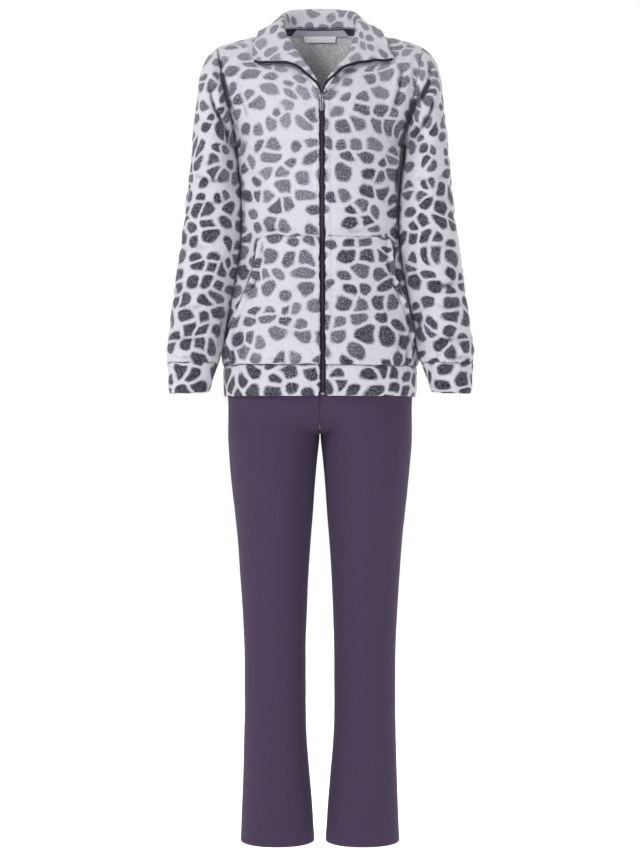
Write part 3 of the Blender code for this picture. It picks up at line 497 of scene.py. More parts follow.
def fold(grid, normal, view, path, width, depth):
    """Height of one fold: a bell curve across the line, that fades in and out along it, on the
    part of the cloth that faces the view."""
    axes, facing = VIEWS[view]
    path = np.array(path, float)
    line = spline(chord(path), path, np.linspace(0, 1, FOLD_POINTS)) if len(path) > 2 else (
        path[0] + np.linspace(0, 1, FOLD_POINTS)[:, None] * (path[1] - path[0]))
    flat = grid[..., axes].reshape(-1, 1, 2)
    distance = np.linalg.norm(flat - line, axis=-1)
    nearest = distance.argmin(axis=1)
    closeness = bell(distance.min(axis=1), width)
    fade = np.sin(np.pi * (nearest + 0.5) / FOLD_POINTS) ** 0.7
    turned = rising(normal @ np.array(facing, float), 0, FACING_LIMIT)
    return depth * (closeness * fade).reshape(grid.shape[:2]) * turned


def folded(grid, folds, closed=False):
    """Height of all the given folds together."""
    normal = normals(grid, closed)
    return sum((fold(grid, normal, *row) for row in folds), np.zeros(grid.shape[:2]))


def seen(view, *rows):
    """Folds that are all drawn in one view, each as a line, a width and a height."""
    return [(view, *row) for row in rows]


def mirrored(folds):
    """The same folds on the other side of the body."""
    swap = {"left": "right", "right": "left"}
    flip = {"front": -1, "back": -1, "left": 1, "right": 1}
    return [(swap.get(view, view), [(flip[view] * a, b) for a, b in path], width, depth)
            for view, path, width, depth in folds]


test_points = np.random.default_rng(1).random((500, 3)) * 900
print("lumps reach", round(float(np.abs(fleece_relief(test_points)).max()), 2), "mm")

# %% [markdown]
# # Node helpers
# Materials are built from nodes. Small helpers keep that readable: one adds a node and wires or
# sets its inputs, another opens a group with named inputs and outputs, so that a weave or a pile
# is made once and used in several materials.

# %% Node helpers
def connect(tree, sockets, values):
    """Wire each value that is itself a socket, and set the others."""
    for key, value in values.items():
        if isinstance(value, bpy.types.NodeSocket):
            tree.links.new(value, sockets[key])
        else:
            sockets[key].default_value = value


def add(tree, kind, inputs=(), output=0, **settings):
    """Add a node, set its options, wire or set its inputs, and give back one output socket."""
    made = tree.nodes.new("ShaderNode" + kind)
    for key, value in settings.items():
        setattr(made, key, value)
    connect(tree, made.inputs, dict(inputs))
    return made.outputs[output]


def maths(tree, operation, a, b=0.0, c=0.0):
    """One Math node."""
    return add(tree, "Math", {0: a, 1: b, 2: c}, operation=operation)


def ramp(tree, value, low, high, to_low=0.0, to_high=1.0, smooth=True):
    """A value moved from one range to another, and held at its ends."""
    return add(tree, "MapRange", {"Value": value, "From Min": low, "From Max": high, "To Min": to_low,
                                  "To Max": to_high},
               interpolation_type="SMOOTHSTEP" if smooth else "LINEAR")


def blend_colours(tree, factor, a, b):
    """One Mix node for colours; a plain colour is given as three numbers."""
    made = tree.nodes.new("ShaderNodeMix")
    made.data_type = "RGBA"
    a, b = ((*colour, 1.0) if isinstance(colour, tuple) else colour for colour in (a, b))
    connect(tree, {socket.identifier: socket for socket in made.inputs},
            {"Factor_Float": factor, "A_Color": a, "B_Color": b})
    return next(socket for socket in made.outputs if socket.identifier == "Result_Color")


def noise(tree, vector, scale, detail=2.0, roughness=0.5, output="Factor", **inputs):
    """One Noise Texture, as a value or as a colour."""
    values = {"Vector": vector, "Scale": scale, "Detail": detail, "Roughness": roughness, **inputs}
    return add(tree, "TexNoise", values, output=0 if output == "Factor" else 1)


def new_group(name, inputs, outputs):
    """A shader node group, with its ends open for wiring."""
    group = bpy.data.node_groups.new(name, "ShaderNodeTree")
    for label, kind, default in inputs:
        socket = group.interface.new_socket(label, in_out="INPUT", socket_type="NodeSocket" + kind)
        if default is not None:
            socket.default_value = default
    for label, kind in outputs:
        group.interface.new_socket(label, in_out="OUTPUT", socket_type="NodeSocket" + kind)
    start = group.nodes.new("NodeGroupInput")
    end = group.nodes.new("NodeGroupOutput")
    return group, start.outputs, end.inputs


def use(tree, group, inputs):
    """A group placed in a tree; gives back all its outputs."""
    made = tree.nodes.new("ShaderNodeGroup")
    made.node_tree = group
    connect(tree, made.inputs, inputs)
    return made.outputs


def new_material(name, **constants):
    """A material with one Principled shader, whose even values are set on its own sockets."""
    material = bpy.data.materials.new(name)
    material.use_nodes = True
    shader = material.node_tree.nodes["Principled BSDF"]
    for key, value in constants.items():
        shader.inputs[key.replace("_", " ")].default_value = value
    return material, material.node_tree, shader.inputs


def bump(tree, height, distance, strength=1.0, under=None):
    """A normal bent by a height, on top of another bend where one is given."""
    inputs = {"Height": height, "Distance": distance, "Strength": strength}
    if under is not None:
        inputs["Normal"] = under
    return add(tree, "Bump", inputs)


print("node helpers ready")

# %% [markdown]
# # Finishes of the fleece
# The right side is brushed to a soft pile and printed with pebble spots, the reverse is a curly
# grey melange. Both have the same pile: noise of three sizes, for clumps, tufts and fibres.
# Real hairs would be too many, and at this size the eye sees only their clumps.

# %% The pile
pile, start, end = new_group(
    "pile", [("Vector", "Vector", None), ("Clump", "Float", 240.0), ("Curl", "Float", 0.4)],
    [("Height", "Float"), ("Shade", "Float")])
clumps = noise(pile, start["Vector"], start["Clump"], 3.0, 0.62, Distortion=start["Curl"])
tufts = noise(pile, start["Vector"], 95.0, 2.0, 0.5)
fibres = noise(pile, start["Vector"], 1100.0, 1.0, 0.5)
pile.links.new(maths(pile, "ADD", maths(pile, "MULTIPLY", clumps, 0.55),
                     maths(pile, "ADD", maths(pile, "MULTIPLY", tufts, 0.35),
                           maths(pile, "MULTIPLY", fibres, 0.16))), end["Height"])
pile.links.new(ramp(pile, clumps, 0.32, 0.68), end["Shade"])

print("the pile has", len(pile.nodes), "nodes")

# %% [markdown]
# # Spots
# The print could be a picture, but a picture would blur close up and show its repeats. Cells of
# a Voronoi pattern, drawn in from their borders and rounded at their corners, give pebbles with
# an even white ground between them. The ink sits on the tips of the fibres, so light fibres
# show through it, more so where it is thin.

# %% The spots
SPOT_SIZE = 31.5      # mean distance between spots, millimetres
spots, start, end = new_group("spots", [("Vector", "Vector", None), ("Wash", "Float", 0.5)],
                              [("Color", "Color"), ("Mask", "Float")])


def shifted(tree, vector, scale, amount):
    """The vector moved by smooth noise, to bend a pattern."""
    colour = noise(tree, vector, scale, 1.0, output="Color")
    centred = add(tree, "VectorMath", {0: colour, 1: (0.5, 0.5, 0.5)}, operation="SUBTRACT")
    grown = add(tree, "VectorMath", {0: centred, 1: (amount, amount, 0.0)}, operation="MULTIPLY")
    return add(tree, "VectorMath", {0: vector, 1: grown}, operation="ADD")


stretched = add(spots, "VectorMath", {0: start["Vector"], 1: (0.93, 1.09, 1.0)}, operation="MULTIPLY")
bent = shifted(spots, stretched, 15.0, 0.040)
rough = shifted(spots, bent, 55.0, 0.0060)
cell = {"Vector": rough, "Scale": 1000 / SPOT_SIZE, "Randomness": 0.70}
near = add(spots, "TexVoronoi", cell, voronoi_dimensions="2D", feature="F1")
chance = add(spots, "TexVoronoi", cell, output="Color", voronoi_dimensions="2D", feature="F1")
edge = add(spots, "TexVoronoi", cell, voronoi_dimensions="2D", feature="DISTANCE_TO_EDGE")
add(spots, "SeparateColor", {"Color": chance})
split = spots.nodes[-1].outputs
speckle = noise(spots, start["Vector"], 340.0, 1.5, 0.8)
fuller = maths(spots, "MULTIPLY", maths(spots, "SUBTRACT", start["Wash"], 0.4), 0.07)
radius = ramp(spots, split["Green"], 0.0, 1.0, 0.31, 0.51, smooth=False)
round_part = maths(spots, "SUBTRACT", radius, near)
grown = maths(spots, "ADD", round_part, fuller)
inside = maths(spots, "SMOOTH_MIN", grown, maths(spots, "SUBTRACT", edge, 0.120), 0.17)
fuzzy = maths(spots, "ADD", inside, ramp(spots, speckle, 0.25, 0.75, -0.035, 0.035, smooth=False))
mask = ramp(spots, fuzzy, -0.085, 0.065)
depth = maths(spots, "ADD", maths(spots, "MULTIPLY", split["Red"], 0.46), start["Wash"])
dark = blend_colours(spots, ramp(spots, depth, 0.0, 1.0, smooth=False), (0.205, 0.193, 0.240),
                     (0.010, 0.006, 0.026))
thin = ramp(spots, maths(spots, "ADD", speckle, maths(spots, "MULTIPLY", depth, 0.13)), 0.38, 0.62)
ink = blend_colours(spots, thin, (0.32, 0.31, 0.36), dark)
ground = blend_colours(spots, noise(spots, start["Vector"], 9.0, 2.0), (0.640, 0.626, 0.664),
                       (0.585, 0.572, 0.634))
# painted shade: the ground darkens to a blue grey just beside each spot, where the pile dips towards it
ground = blend_colours(spots, ramp(spots, inside, -0.19, 0.02, 0.0, 0.28), ground, (0.36, 0.37, 0.47))
tufted = noise(spots, start["Vector"], 170.0, 3.0, 0.65)
ground = blend_colours(spots, ramp(spots, tufted, 0.60, 0.30, 0.0, 0.34), ground, (0.44, 0.44, 0.52))
spots.links.new(blend_colours(spots, mask, ground, ink), end["Color"])
spots.links.new(ramp(spots, inside, -0.085, 0.065), end["Mask"])

print("the spots have", len(spots.nodes), "nodes")

# %% [markdown]
# # Both sides of the fleece
# The right side joins spots and pile, and gets painted shade in a crease, where little light gets in. The
# reverse isn't printed: grey yarn is mixed with white.

# %% Right side and reverse of the fleece
print_material, tree, sockets = new_material("printed_fleece", Roughness=0.92, Sheen_Weight=0.22,
                                             Sheen_Roughness=0.5, Specular_IOR_Level=0.15)
cloth_map = add(tree, "UVMap", uv_map="cloth")
wash = add(tree, "Attribute", output=2, attribute_name="wash")
made = use(tree, spots, {"Vector": cloth_map, "Wash": wash})
place = add(tree, "TexCoord", output=3)
furry = use(tree, pile, {"Vector": place, "Clump": 260.0, "Curl": 0.5})
shaded = blend_colours(tree, maths(tree, "MULTIPLY", furry["Shade"], 0.10), made["Color"], (0.86, 0.86, 0.88))
# painted shade: this value darkens the colour to near black in folds, seam dips and the creases beside a
# sleeve and a pocket's rim
crease = add(tree, "Attribute", output=2, attribute_name="painted_shade")
shaded = blend_colours(tree, ramp(tree, crease, 0.05, 0.80, 0.0, 0.94), shaded, (0.016, 0.013, 0.026))
tree.links.new(shaded, sockets["Base Color"])
raised = bump(tree, maths(tree, "SUBTRACT", 1.0, made["Mask"]), 0.0014, 0.8)
tree.links.new(bump(tree, furry["Height"], 0.0030, 0.85, raised), sockets["Normal"])

reverse_material, tree, sockets = new_material("fleece_reverse", Roughness=0.95, Sheen_Weight=0.15,
                                               Specular_IOR_Level=0.1)
place = add(tree, "TexCoord", output=3)
furry = use(tree, pile, {"Vector": place, "Clump": 240.0, "Curl": 2.0})
melange = ramp(tree, noise(tree, place, 330.0, 2.0, 0.8, Distortion=1.2), 0.30, 0.52)
melange = maths(tree, "MULTIPLY", melange, furry["Shade"])
tree.links.new(blend_colours(tree, melange, (0.51, 0.495, 0.535), (1.0, 1.0, 1.0)), sockets["Base Color"])
tree.links.new(bump(tree, furry["Height"], 0.004, 1.0), sockets["Normal"])
print("the printed side has", len(print_material.node_tree.nodes), "nodes besides its groups")

# %% [markdown]
# # Finishes of the jersey, tapes and metal
# Jersey is a fine smooth knit, so close to plain, with a faint grain. Tapes and labels are woven:
# two sets of fine bands that cross. The slider is plated metal, dulled a little where fingers
# touch it.

# %% The weave
weave, start, end = new_group("weave", [("Vector", "Vector", None), ("Threads", "Float", 900.0)],
                              [("Height", "Float"), ("Shade", "Float")])
scaled = add(weave, "VectorMath", {0: start["Vector"], "Scale": start["Threads"]}, operation="SCALE")
add(weave, "SeparateXYZ", {0: scaled})
axes = weave.nodes[-1].outputs
across = maths(weave, "SINE", axes["X"])
along = maths(weave, "SINE", axes["Y"])
crossing = maths(weave, "MULTIPLY", across, along)
slub = noise(weave, start["Vector"], 300.0, 3.0, 0.6)
weave.links.new(maths(weave, "ADD", maths(weave, "MULTIPLY", crossing, 0.25), slub), end["Height"])
weave.links.new(ramp(weave, slub, 0.3, 0.7), end["Shade"])


def woven(name, dark, light, threads, roughness, depth=0.0004, sheen=0.1):
    """A plain woven cloth, between two shades of one colour."""
    material, tree, sockets = new_material(name, Roughness=roughness, Sheen_Weight=sheen,
                                           Specular_IOR_Level=0.25)
    cloth_map = add(tree, "UVMap", uv_map="cloth")
    made = use(tree, weave, {"Vector": cloth_map, "Threads": threads})
    tree.links.new(blend_colours(tree, made["Shade"], dark, light), sockets["Base Color"])
    tree.links.new(bump(tree, made["Height"], depth, 0.6), sockets["Normal"])
    return material


print("the weave has", len(weave.nodes), "nodes")

# %% Jersey, tapes and metal
jersey_material, tree, sockets = new_material("plum_jersey", Roughness=0.9, Sheen_Weight=0.05,
                                              Sheen_Roughness=0.6, Specular_IOR_Level=0.2)
cloth_map = add(tree, "UVMap", uv_map="cloth")
knit = use(tree, weave, {"Vector": cloth_map, "Threads": 2600.0})
wear = noise(tree, cloth_map, 7.0, 2.0)
fine = blend_colours(tree, knit["Shade"], (0.0475, 0.0292, 0.0680), (0.0560, 0.0350, 0.0780))
tree.links.new(blend_colours(tree, maths(tree, "MULTIPLY", wear, 0.25), fine, (0.060, 0.038, 0.083)),
               sockets["Base Color"])
tree.links.new(bump(tree, knit["Height"], 0.0005, 0.5), sockets["Normal"])

tape_material = woven("zip_tape", (0.033, 0.022, 0.036), (0.052, 0.037, 0.056), 3200.0, 0.8)
coil_material = woven("zip_coil", (0.034, 0.024, 0.038), (0.072, 0.055, 0.078), 1500.0, 0.45, 0.0001, 0.0)
neck_tape_material = woven("neck_tape", (0.40, 0.37, 0.48), (0.48, 0.45, 0.56), 2400.0, 0.8)
piping_material = woven("piping", (0.024, 0.014, 0.034), (0.046, 0.029, 0.062), 2400.0, 0.75)
label_material = woven("label", (0.90, 0.895, 0.91), (0.96, 0.955, 0.965), 3000.0, 0.45)
# painted shade: the open edges are zip tape, in a copy of its colour darkened near to black
shaded_tape_material = woven("zip_edge", (0.010, 0.006, 0.011), (0.020, 0.013, 0.022), 3200.0, 0.7, 0.0003, 0.03)
thread_material = woven("plum_thread", (0.085, 0.062, 0.115), (0.120, 0.090, 0.155), 5000.0, 0.6)

metal_material, tree, sockets = new_material("zip_metal", Metallic=1.0)
place = add(tree, "TexCoord", output=3)
rubbed = noise(tree, place, 700.0, 3.0, 0.6)
tree.links.new(blend_colours(tree, rubbed, (0.20, 0.20, 0.22), (0.46, 0.45, 0.46)), sockets["Base Color"])
tree.links.new(ramp(tree, rubbed, 0.2, 0.8, 0.22, 0.42), sockets["Roughness"])
tree.links.new(bump(tree, noise(tree, place, 1800.0, 2.0), 0.00008, 0.5), sockets["Normal"])
print(len(bpy.data.materials), "materials")

# %% [markdown]
# # The jacket's body
# Below the armpit the body is a stack of rings that are a little squarer than an ellipse. Above
# it, each row fans from the centre to the armhole: square to the body under the arm and along
# the shoulder at the top. Cut cloth would be sewn the same way, front to back at the side and
# the shoulder.

# %% Rings, tubes and the shoulder
PITCH = 3.0           # spacing of the points of a fleece piece, millimetres
ARC_POINTS = 241
FAN_HEIGHT = 198.0
TO_THE_SIDE = 999.0   # further out than any ring, so that a row ends at the side seam


def zip_x(z):
    """The zip's middle line leans from the slider to the hem."""
    return np.interp(z, (HEM_Z, SLIDER_Z), (ZIP_HEM_X, ZIP_TOP_X))


def ring_part(z, half, depth, side, x_from, x_to, count):
    """Points on one quarter of a superellipse, evenly spaced between two distances out."""
    angles = np.arccos((np.clip(np.array([x_from, x_to]) / half, 0, 1)) ** (SQUARENESS / 2))
    angle = np.linspace(*angles, ARC_POINTS)
    points = np.stack([side * half * np.cos(angle) ** (2 / SQUARENESS),
                       depth * np.sin(angle) ** (2 / SQUARENESS), np.full(ARC_POINTS, float(z))], axis=1)
    return evenly(points, count)


def body_rings(heights, side, face, x_from, x_to, count):
    """Rows of the front (face -1) or back (face 1) between two curves up the body."""
    rings = steady([row[0] for row in BODY], [row[1:] for row in BODY], heights)
    x_from, x_to = (np.broadcast_to(x, len(heights)) for x in (x_from, x_to))
    return np.array([
        ring_part(z, half, face * (front if face < 0 else back), side, start, min(end, half), count)
        for z, (half, front, back), start, end in zip(heights, rings, x_from, x_to)])


def sided(point, side, from_zip=False):
    """A point given outwards, put on its side of the middle or of the zip."""
    out, y, z = point
    return np.array([(ZIP_TOP_X if from_zip else 0.0) + side * out, y, z], float)


def tube_section(row, side, angle):
    """One sleeve ring: an ellipse whose long axis runs from the inner to the outer point."""
    in_x, in_z, out_x, out_z, y, front, back = row
    middle = np.array([(in_x + out_x) / 2, y, (in_z + out_z) / 2])
    reach = np.array([(out_x - in_x) / 2, 0.0, (out_z - in_z) / 2])
    points = middle + np.cos(angle)[:, None] * reach
    points[:, 1] += np.where(np.sin(angle) < 0, front, back) * np.sin(angle)
    points[:, 0] *= side
    return points


def shoulder_seam(side, count):
    """From the neck point to the shoulder point, bowed up by a parabola."""
    share = np.linspace(0.0, 1.0, count)[:, None]
    first, last = sided(NECK_POINT, side), sided(SHOULDER_POINT, side)
    return first + share * (last - first) + 4 * share * (1 - share) * (0.0, 0.0, SHOULDER_BOW)


print("a shoulder is", round(float(steps(shoulder_seam(1, 50)).sum())), "mm long at its seam")


# %% Fan and neck line
def fan(inner, outer, foot, top, side, face):
    """Rows from the centre to the armhole: cubics that leave square to the centre and arrive at
    an angle that opens from 90 degrees under the arm to none at the shoulder. What the first and
    last rows lack of the true ring and seam fades in over their neighbours."""
    v = np.linspace(0, 1, len(inner))[:, None, None]
    u = np.linspace(0, 1, len(foot))[None, :, None]
    square = np.array([side, 0.0, 0.0])
    shoulder = unit(sided(SHOULDER_POINT, side) - sided(NECK_POINT, side))
    turn = np.pi / 2 * (1 - v) ** FAN_BEND
    fullness = 1 + FAN_FULLNESS * (turn * 2 / np.pi) ** 2
    reach = np.linalg.norm(outer - inner, axis=1)[:, None, None] * fullness
    leave = unit(square * (1 - v) + shoulder * v)
    arrive = square * np.cos(turn) - face * np.array([0.0, 1.0, 0.0]) * np.sin(turn)
    arrive = unit(arrive * (1 - v**2) + shoulder * v**2)
    rows = hermite(inner[:, None], outer[:, None], reach * leave, reach * arrive, u)
    return rows + (foot - rows[0]) * (1 - v) ** 2 + (top - rows[-1]) * v**3


def neck_line(side_name, column):
    """Seam (0), crest (1) or free edge (2) of the collar, from the slider to the neck point."""
    return np.array([sided(row[column], SIDES[side_name], from_zip=n < ZIP_SECTIONS)
                     for n, row in enumerate(COLLAR[side_name])])


print("the neck seam is", round(float(steps(neck_line("left", 0)).sum())), "mm long beside the zip")

# %% Front and back
BODY_ROWS = 1 + round((ARMPIT_Z - BAND_Z) / PITCH)
FAN_ROWS = 1 + round(FAN_HEIGHT / PITCH)
FRONT_COLUMNS = 84
BODY_HEIGHTS = np.linspace(BAND_Z, ARMPIT_Z, BODY_ROWS)
JOIN_ROWS, JOIN_PASSES = 14.0, 60    # how far and how often the rows at the armpit are softened


def blend_rows(lower, upper, keep_first):
    """Both parts in one grid, with the crease between them smoothed out of all but the last
    column, and the first one where it is an edge beside the zip."""
    grid = np.concatenate([lower, upper[1:]])
    share = np.linspace(0, 1, grid.shape[1])[None, :, None]
    near = bell(np.arange(len(grid)) - len(lower), JOIN_ROWS)[:, None, None]
    first = np.clip(4 * share, 0, 1) if keep_first else 1.0
    return grid + (soften(grid, JOIN_PASSES) - grid) * (near * first * np.clip(6 * (1 - share), 0, 1))


def front_surface(side_name):
    """One front: rings to the armpit, then the fan to the neck and the shoulder."""
    side = SIDES[side_name]
    lower = body_rings(BODY_HEIGHTS, side, -1, np.abs(zip_x(BODY_HEIGHTS) + side * ZIP_HALF), TO_THE_SIDE,
                       FRONT_COLUMNS)
    chest = [[zip_x(z) + side * ZIP_HALF, y, z]
             for z, y in ((ARMPIT_Z, lower[-1, 0, 1]), (CHEST_Z, CHEST_FRONT))]
    knots = np.vstack([chest, neck_line(side_name, 0)])
    lower[:, 0, 0] = zip_x(BODY_HEIGHTS) + side * ZIP_HALF
    v = np.linspace(0, 1, FAN_ROWS)
    inner = spline(np.linspace(0, 1, len(knots)), knots, v)
    outer = tube_section(SLEEVE[0], side, -np.pi * (1 - v))
    upper = fan(inner, outer, lower[-1], shoulder_seam(side, FRONT_COLUMNS), side, -1)
    return blend_rows(lower, upper, True)


NECK_SHARE = 1 / 3    # of the back's half top edge
BACK_COLUMNS = 100


def back_half(side):
    """Half the back, from the middle outwards, up to the nape and the shoulder."""
    lower = body_rings(BODY_HEIGHTS, side, 1, 0.0, TO_THE_SIDE, BACK_COLUMNS)
    v = np.linspace(0, 1, FAN_ROWS)
    nape_y, nape_z = NAPE[-1][0][1:]
    centre_y = steady((0.0, BLADE_RISE, 1.0), (lower[-1, 0, 1], BLADE_DEPTH, nape_y), v)[:, 0]
    inner = np.stack([0 * v, centre_y, ARMPIT_Z + v * (nape_z - ARMPIT_Z)], axis=1)
    outer = tube_section(SLEEVE[0], side, np.pi * (1 - v))
    neck = np.vstack([[sided(row[0], side) for row in NAPE[::-1]], sided(NECK_POINT, side)])
    neck_columns = round(BACK_COLUMNS * NECK_SHARE)
    neck = spline(np.linspace(0, 1, len(neck)), neck, np.linspace(0, 1, neck_columns))
    top = np.vstack([neck, shoulder_seam(side, BACK_COLUMNS - neck_columns + 1)[1:]])
    return blend_rows(lower, fan(inner, outer, lower[-1], top, side, 1), False)


fronts = {"left": front_surface("left"), "right": front_surface("right")}
back = np.concatenate([back_half(1)[:, ::-1], back_half(-1)[:, 1:]], axis=1)
print("front grid", fronts["left"].shape[:2], "back grid", back.shape[:2])

# %% [markdown]
# # Folds of the jacket
# Cloth folds where it is pushed: beside the armhole, where the sleeve hangs against the body,
# over the hips and above the cuffs. Each row gives the line in one view, how wide the fold is
# and how far it stands out, or sinks in where that number is negative.

# %% Folds given one by one
RIGHT_ARM_FOLDS = seen(  # these cross the armhole seam
    "front",
    ([(-184, -14), (-175, -64), (-160, -120), (-149, -178)], 6, -5.6),
    ([(-200, -60), (-190, -112), (-172, -150), (-160, -184)], 5, -4.2),
    ([(-196, -30), (-186, -88), (-170, -136)], 6.5, 4.4),
)
RIGHT_FRONT_FOLDS = RIGHT_ARM_FOLDS + seen(
    "front",
    ([(-156, -20), (-150, -70), (-139, -132)], 6, 2.4),
    ([(-146, -60), (-140, -104), (-130, -140)], 5, -2.4),
    ([(-147, -176), (-144, -250), (-144, -330), (-150, -400)], 6, -5.4),
    ([(-137, -206), (-133, -252), (-128, -300)], 7, 2.2),
    ([(-160, -430), (-166, -500), (-172, -560)], 6, -4.0),
    ([(-120, -343), (-84, -350), (-50, -345), (-14, -349)], 5, 2.6),
    ([(-124, -334), (-80, -340), (-30, -337)], 5, -2.2),
    ([(-150, -500), (-140, -540), (-132, -572)], 6, -2.2),
    ([(-100, -566), (-60, -571), (-22, -568)], 4, -1.8),
)
LEFT_ARM_FOLDS = seen(  # these cross the armhole seam
    "front",
    ([(199, -30), (193, -78), (175, -104), (158, -138), (151, -176)], 6, -7.5),
    ([(208, -90), (198, -126), (181, -150), (164, -176)], 5, -6.4),
    ([(207, -44), (202, -90), (186, -120), (168, -152)], 6.5, 5.0),
)
LEFT_FRONT_FOLDS = LEFT_ARM_FOLDS + seen(
    "front",
    ([(164, -18), (158, -62), (146, -112)], 6, 4.0),
    ([(150, -26), (144, -78), (132, -128)], 5, -3.6),
    ([(139, -40), (132, -88), (120, -130)], 6, 2.6),
    ([(149, -170), (146, -250), (145, -330), (151, -400)], 6, -6.0),
    ([(138, -176), (134, -226), (130, -280)], 7, 2.6),
    ([(161, -430), (167, -500), (172, -560)], 6, -4.0),
    ([(16, -347), (60, -352), (88, -347), (118, -342)], 5, 2.6),
    ([(24, -337), (66, -342), (112, -333)], 5, -2.4),
    ([(148, -505), (140, -542), (133, -572)], 6, -2.4),
    ([(28, -569), (66, -565), (110, -570)], 4, -1.8),
)
BACK_FOLDS = seen(
    "back",
    ([(170, -20), (162, -80), (148, -150)], 6.5, -4.4),
    ([(152, -30), (143, -90), (129, -150)], 7, 3.2),
    ([(138, -44), (128, -98), (112, -146)], 7, -2.2),
    ([(60, -230), (0, -238), (-70, -226)], 12, -2.8),
    ([(90, -258), (20, -270), (-60, -258)], 11, 2.6),
    ([(40, -310), (-30, -322), (-96, -306)], 11, -2.4),
    ([(128, -300), (112, -380), (118, -470)], 11, 2.8),
    ([(110, -310), (96, -390), (100, -460)], 10, -2.0),
    ([(-126, -290), (-112, -370), (-120, -460)], 11, 2.6),
    ([(-148, -190), (-146, -280), (-147, -360)], 7, -4.6),
    ([(148, -190), (146, -280), (147, -360)], 7, -4.6),
    ([(-170, -20), (-160, -86), (-147, -156)], 6.5, -4.4),
    ([(-152, -26), (-141, -92), (-127, -146)], 7, 3.2),
    ([(60, -560), (10, -567), (-50, -562)], 6, -1.8),
)
# Of the wearer's left sleeve; the right one takes them mirrored.
SLEEVE_FOLDS = seen(
    "front",
    ([(222, -110), (213, -150), (197, -190)], 7, 2.4),
    ([(226, -236), (200, -250), (166, -246)], 6, -3.0),
    ([(232, -254), (205, -268), (170, -262)], 6, 2.6),
    ([(228, -276), (202, -290), (168, -287)], 5.5, -2.2),
    ([(246, -352), (218, -368), (176, -360)], 7, -2.4),
    ([(250, -424), (225, -438), (188, -430)], 6, -3.0),
    ([(256, -442), (230, -458), (194, -450)], 6.5, 2.8),
    ([(262, -462), (236, -478), (204, -472)], 6, -2.2),
    ([(269, -520), (240, -534), (203, -526)], 6, -2.8),
    ([(272, -540), (240, -552), (198, -544)], 6.5, 3.2),
    ([(272, -560), (238, -566), (200, -560)], 4.5, -2.6),
    ([(172, -470), (178, -520), (184, -562)], 5, -3.2),
) + seen(
    "back",
    ([(196, -24), (186, -80), (168, -150)], 6.5, -4.4),
    ([(208, -44), (198, -100), (182, -162)], 7, 3.2),
    ([(240, -296), (210, -314), (172, -304)], 8, -3.2),
    ([(246, -318), (214, -338), (176, -326)], 8, 3.0),
    ([(244, -346), (214, -362), (180, -352)], 7, -2.2),
    ([(268, -496), (236, -516), (196, -504)], 7, -2.8),
    ([(272, -536), (238, -548), (196, -540)], 6.5, 3.0),
    ([(270, -560), (238, -566), (200, -558)], 4.5, -2.4),
) + seen(
    "left",
    ([(-70, -246), (-30, -260), (16, -250)], 8, -2.2),
    ([(-66, -300), (-24, -314), (24, -302)], 8, -2.4),
    ([(-72, -438), (-34, -452), (4, -442)], 8, -2.2),
    ([(-72, -500), (-36, -514), (6, -504)], 8, -2.6),
    ([(-80, -544), (-42, -552), (2, -544)], 7, 2.6),
)
print(len(BACK_FOLDS), "folds across the back")

# %% [markdown]
# # Finishing a piece
# Every piece is finished alike. It moves along its normals by its lumps, seams and folds, is drawn in at its
# borders, gets its wall, and is tied to the frame: the body that it rides on, the solid that it stands for
# and, as a sheet, the size that it was cut to.

# %% Print strength and declaration
report_rows = []


def wash_of(points):
    """How strongly the print took: lightly on the chest and shoulders, deeper down the sides, on
    the wearer's left and on the hem band."""
    x, z = points[:, 0], points[:, 2]
    side, top = rising(np.abs(x), 0.105, 0.09), rising(z, -0.09, 0.09)
    low, band, high = rising(-z, 0.10, 0.22), rising(-z, 0.565, 0.02), rising(z, -0.13, 0.09)
    left = np.clip(x / 0.06, -0.4, 1) * (1 - side) * rising(-z, 0.02, 0.08)
    return (0.20 - 0.20 * high + 0.28 * low + 0.44 * side * (1 - 0.7 * top) + 0.22 * left + 0.50 * band
            + 0.10 * lumps(points, 0.07, 9))


def declare(piece, node, flat):
    """Tie cloth to the frame, and state the sheet that it is cut from."""
    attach(piece, "garment")
    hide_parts(node)
    u, v = flat[..., 0], flat[..., 1]
    width, length = float(np.ptp(u)), float(np.ptp(v))
    a, b, c, d = (flat[:-1, :-1], flat[:-1, 1:], flat[1:, 1:], flat[1:, :-1])
    first, second = c - a, d - b
    area = float(np.abs(first[..., 0] * second[..., 1] - first[..., 1] * second[..., 0]).sum() / 2)
    report_rows.append((piece.name, round(width, 3), round(length, 3), round(area, 4)))


def add_wash_and_shade(piece, crease=None):
    """The wash, and how much painted shade a point gets in a crease, are kept as numbers at each point."""
    points = np.empty(3 * len(piece.data.vertices), np.float32)
    piece.data.vertices.foreach_get("co", points)
    if crease is None:
        crease = np.zeros(len(piece.data.vertices))
    for name, values in (("wash", wash_of(points.reshape(-1, 3).astype(float))), ("painted_shade", crease)):
        layer = piece.data.attributes.new(name, "FLOAT", "POINT")
        layer.data.foreach_set("value", values.astype(np.float32))


print("the print's strength is", wash_of(np.array([[0.0, 0.0, -0.1], [0.2, 0.0, -0.5]])).round(2))

# %% [markdown]
# # Sleeve against body
# A hanging sleeve rests on the jacket's side, and no light comes through. Both swell towards one
# surface half way between them and stop just short of it, so that they never cross.

# %% Where sleeve and body touch
CONTACT_SLANT, CONTACT_Y, CONTACT_GAP, CONTACT_SHADE = 0.15, -30.0, 0.7, 6.0
CONTACT_Z, CONTACT_STRENGTH = (-600, -560, -520, -230, -188, -182), (0, 0.6, 1, 1, 1, 0)
SWELL, SWELL_SPREAD = 12.0, 38.0     # how far the cloth swells, and over what depth
# painted shade in the crease where sleeve and body meet, strongest near the armpit
SHADE_Z, SHADE_STRENGTH = (-600, -420, -330, -188, -150), (0.15, 0.3, 0.9, 1.0, 0.0)
RIGHT_SHADE = 0.6                    # the painted shade beside the right sleeve is lighter
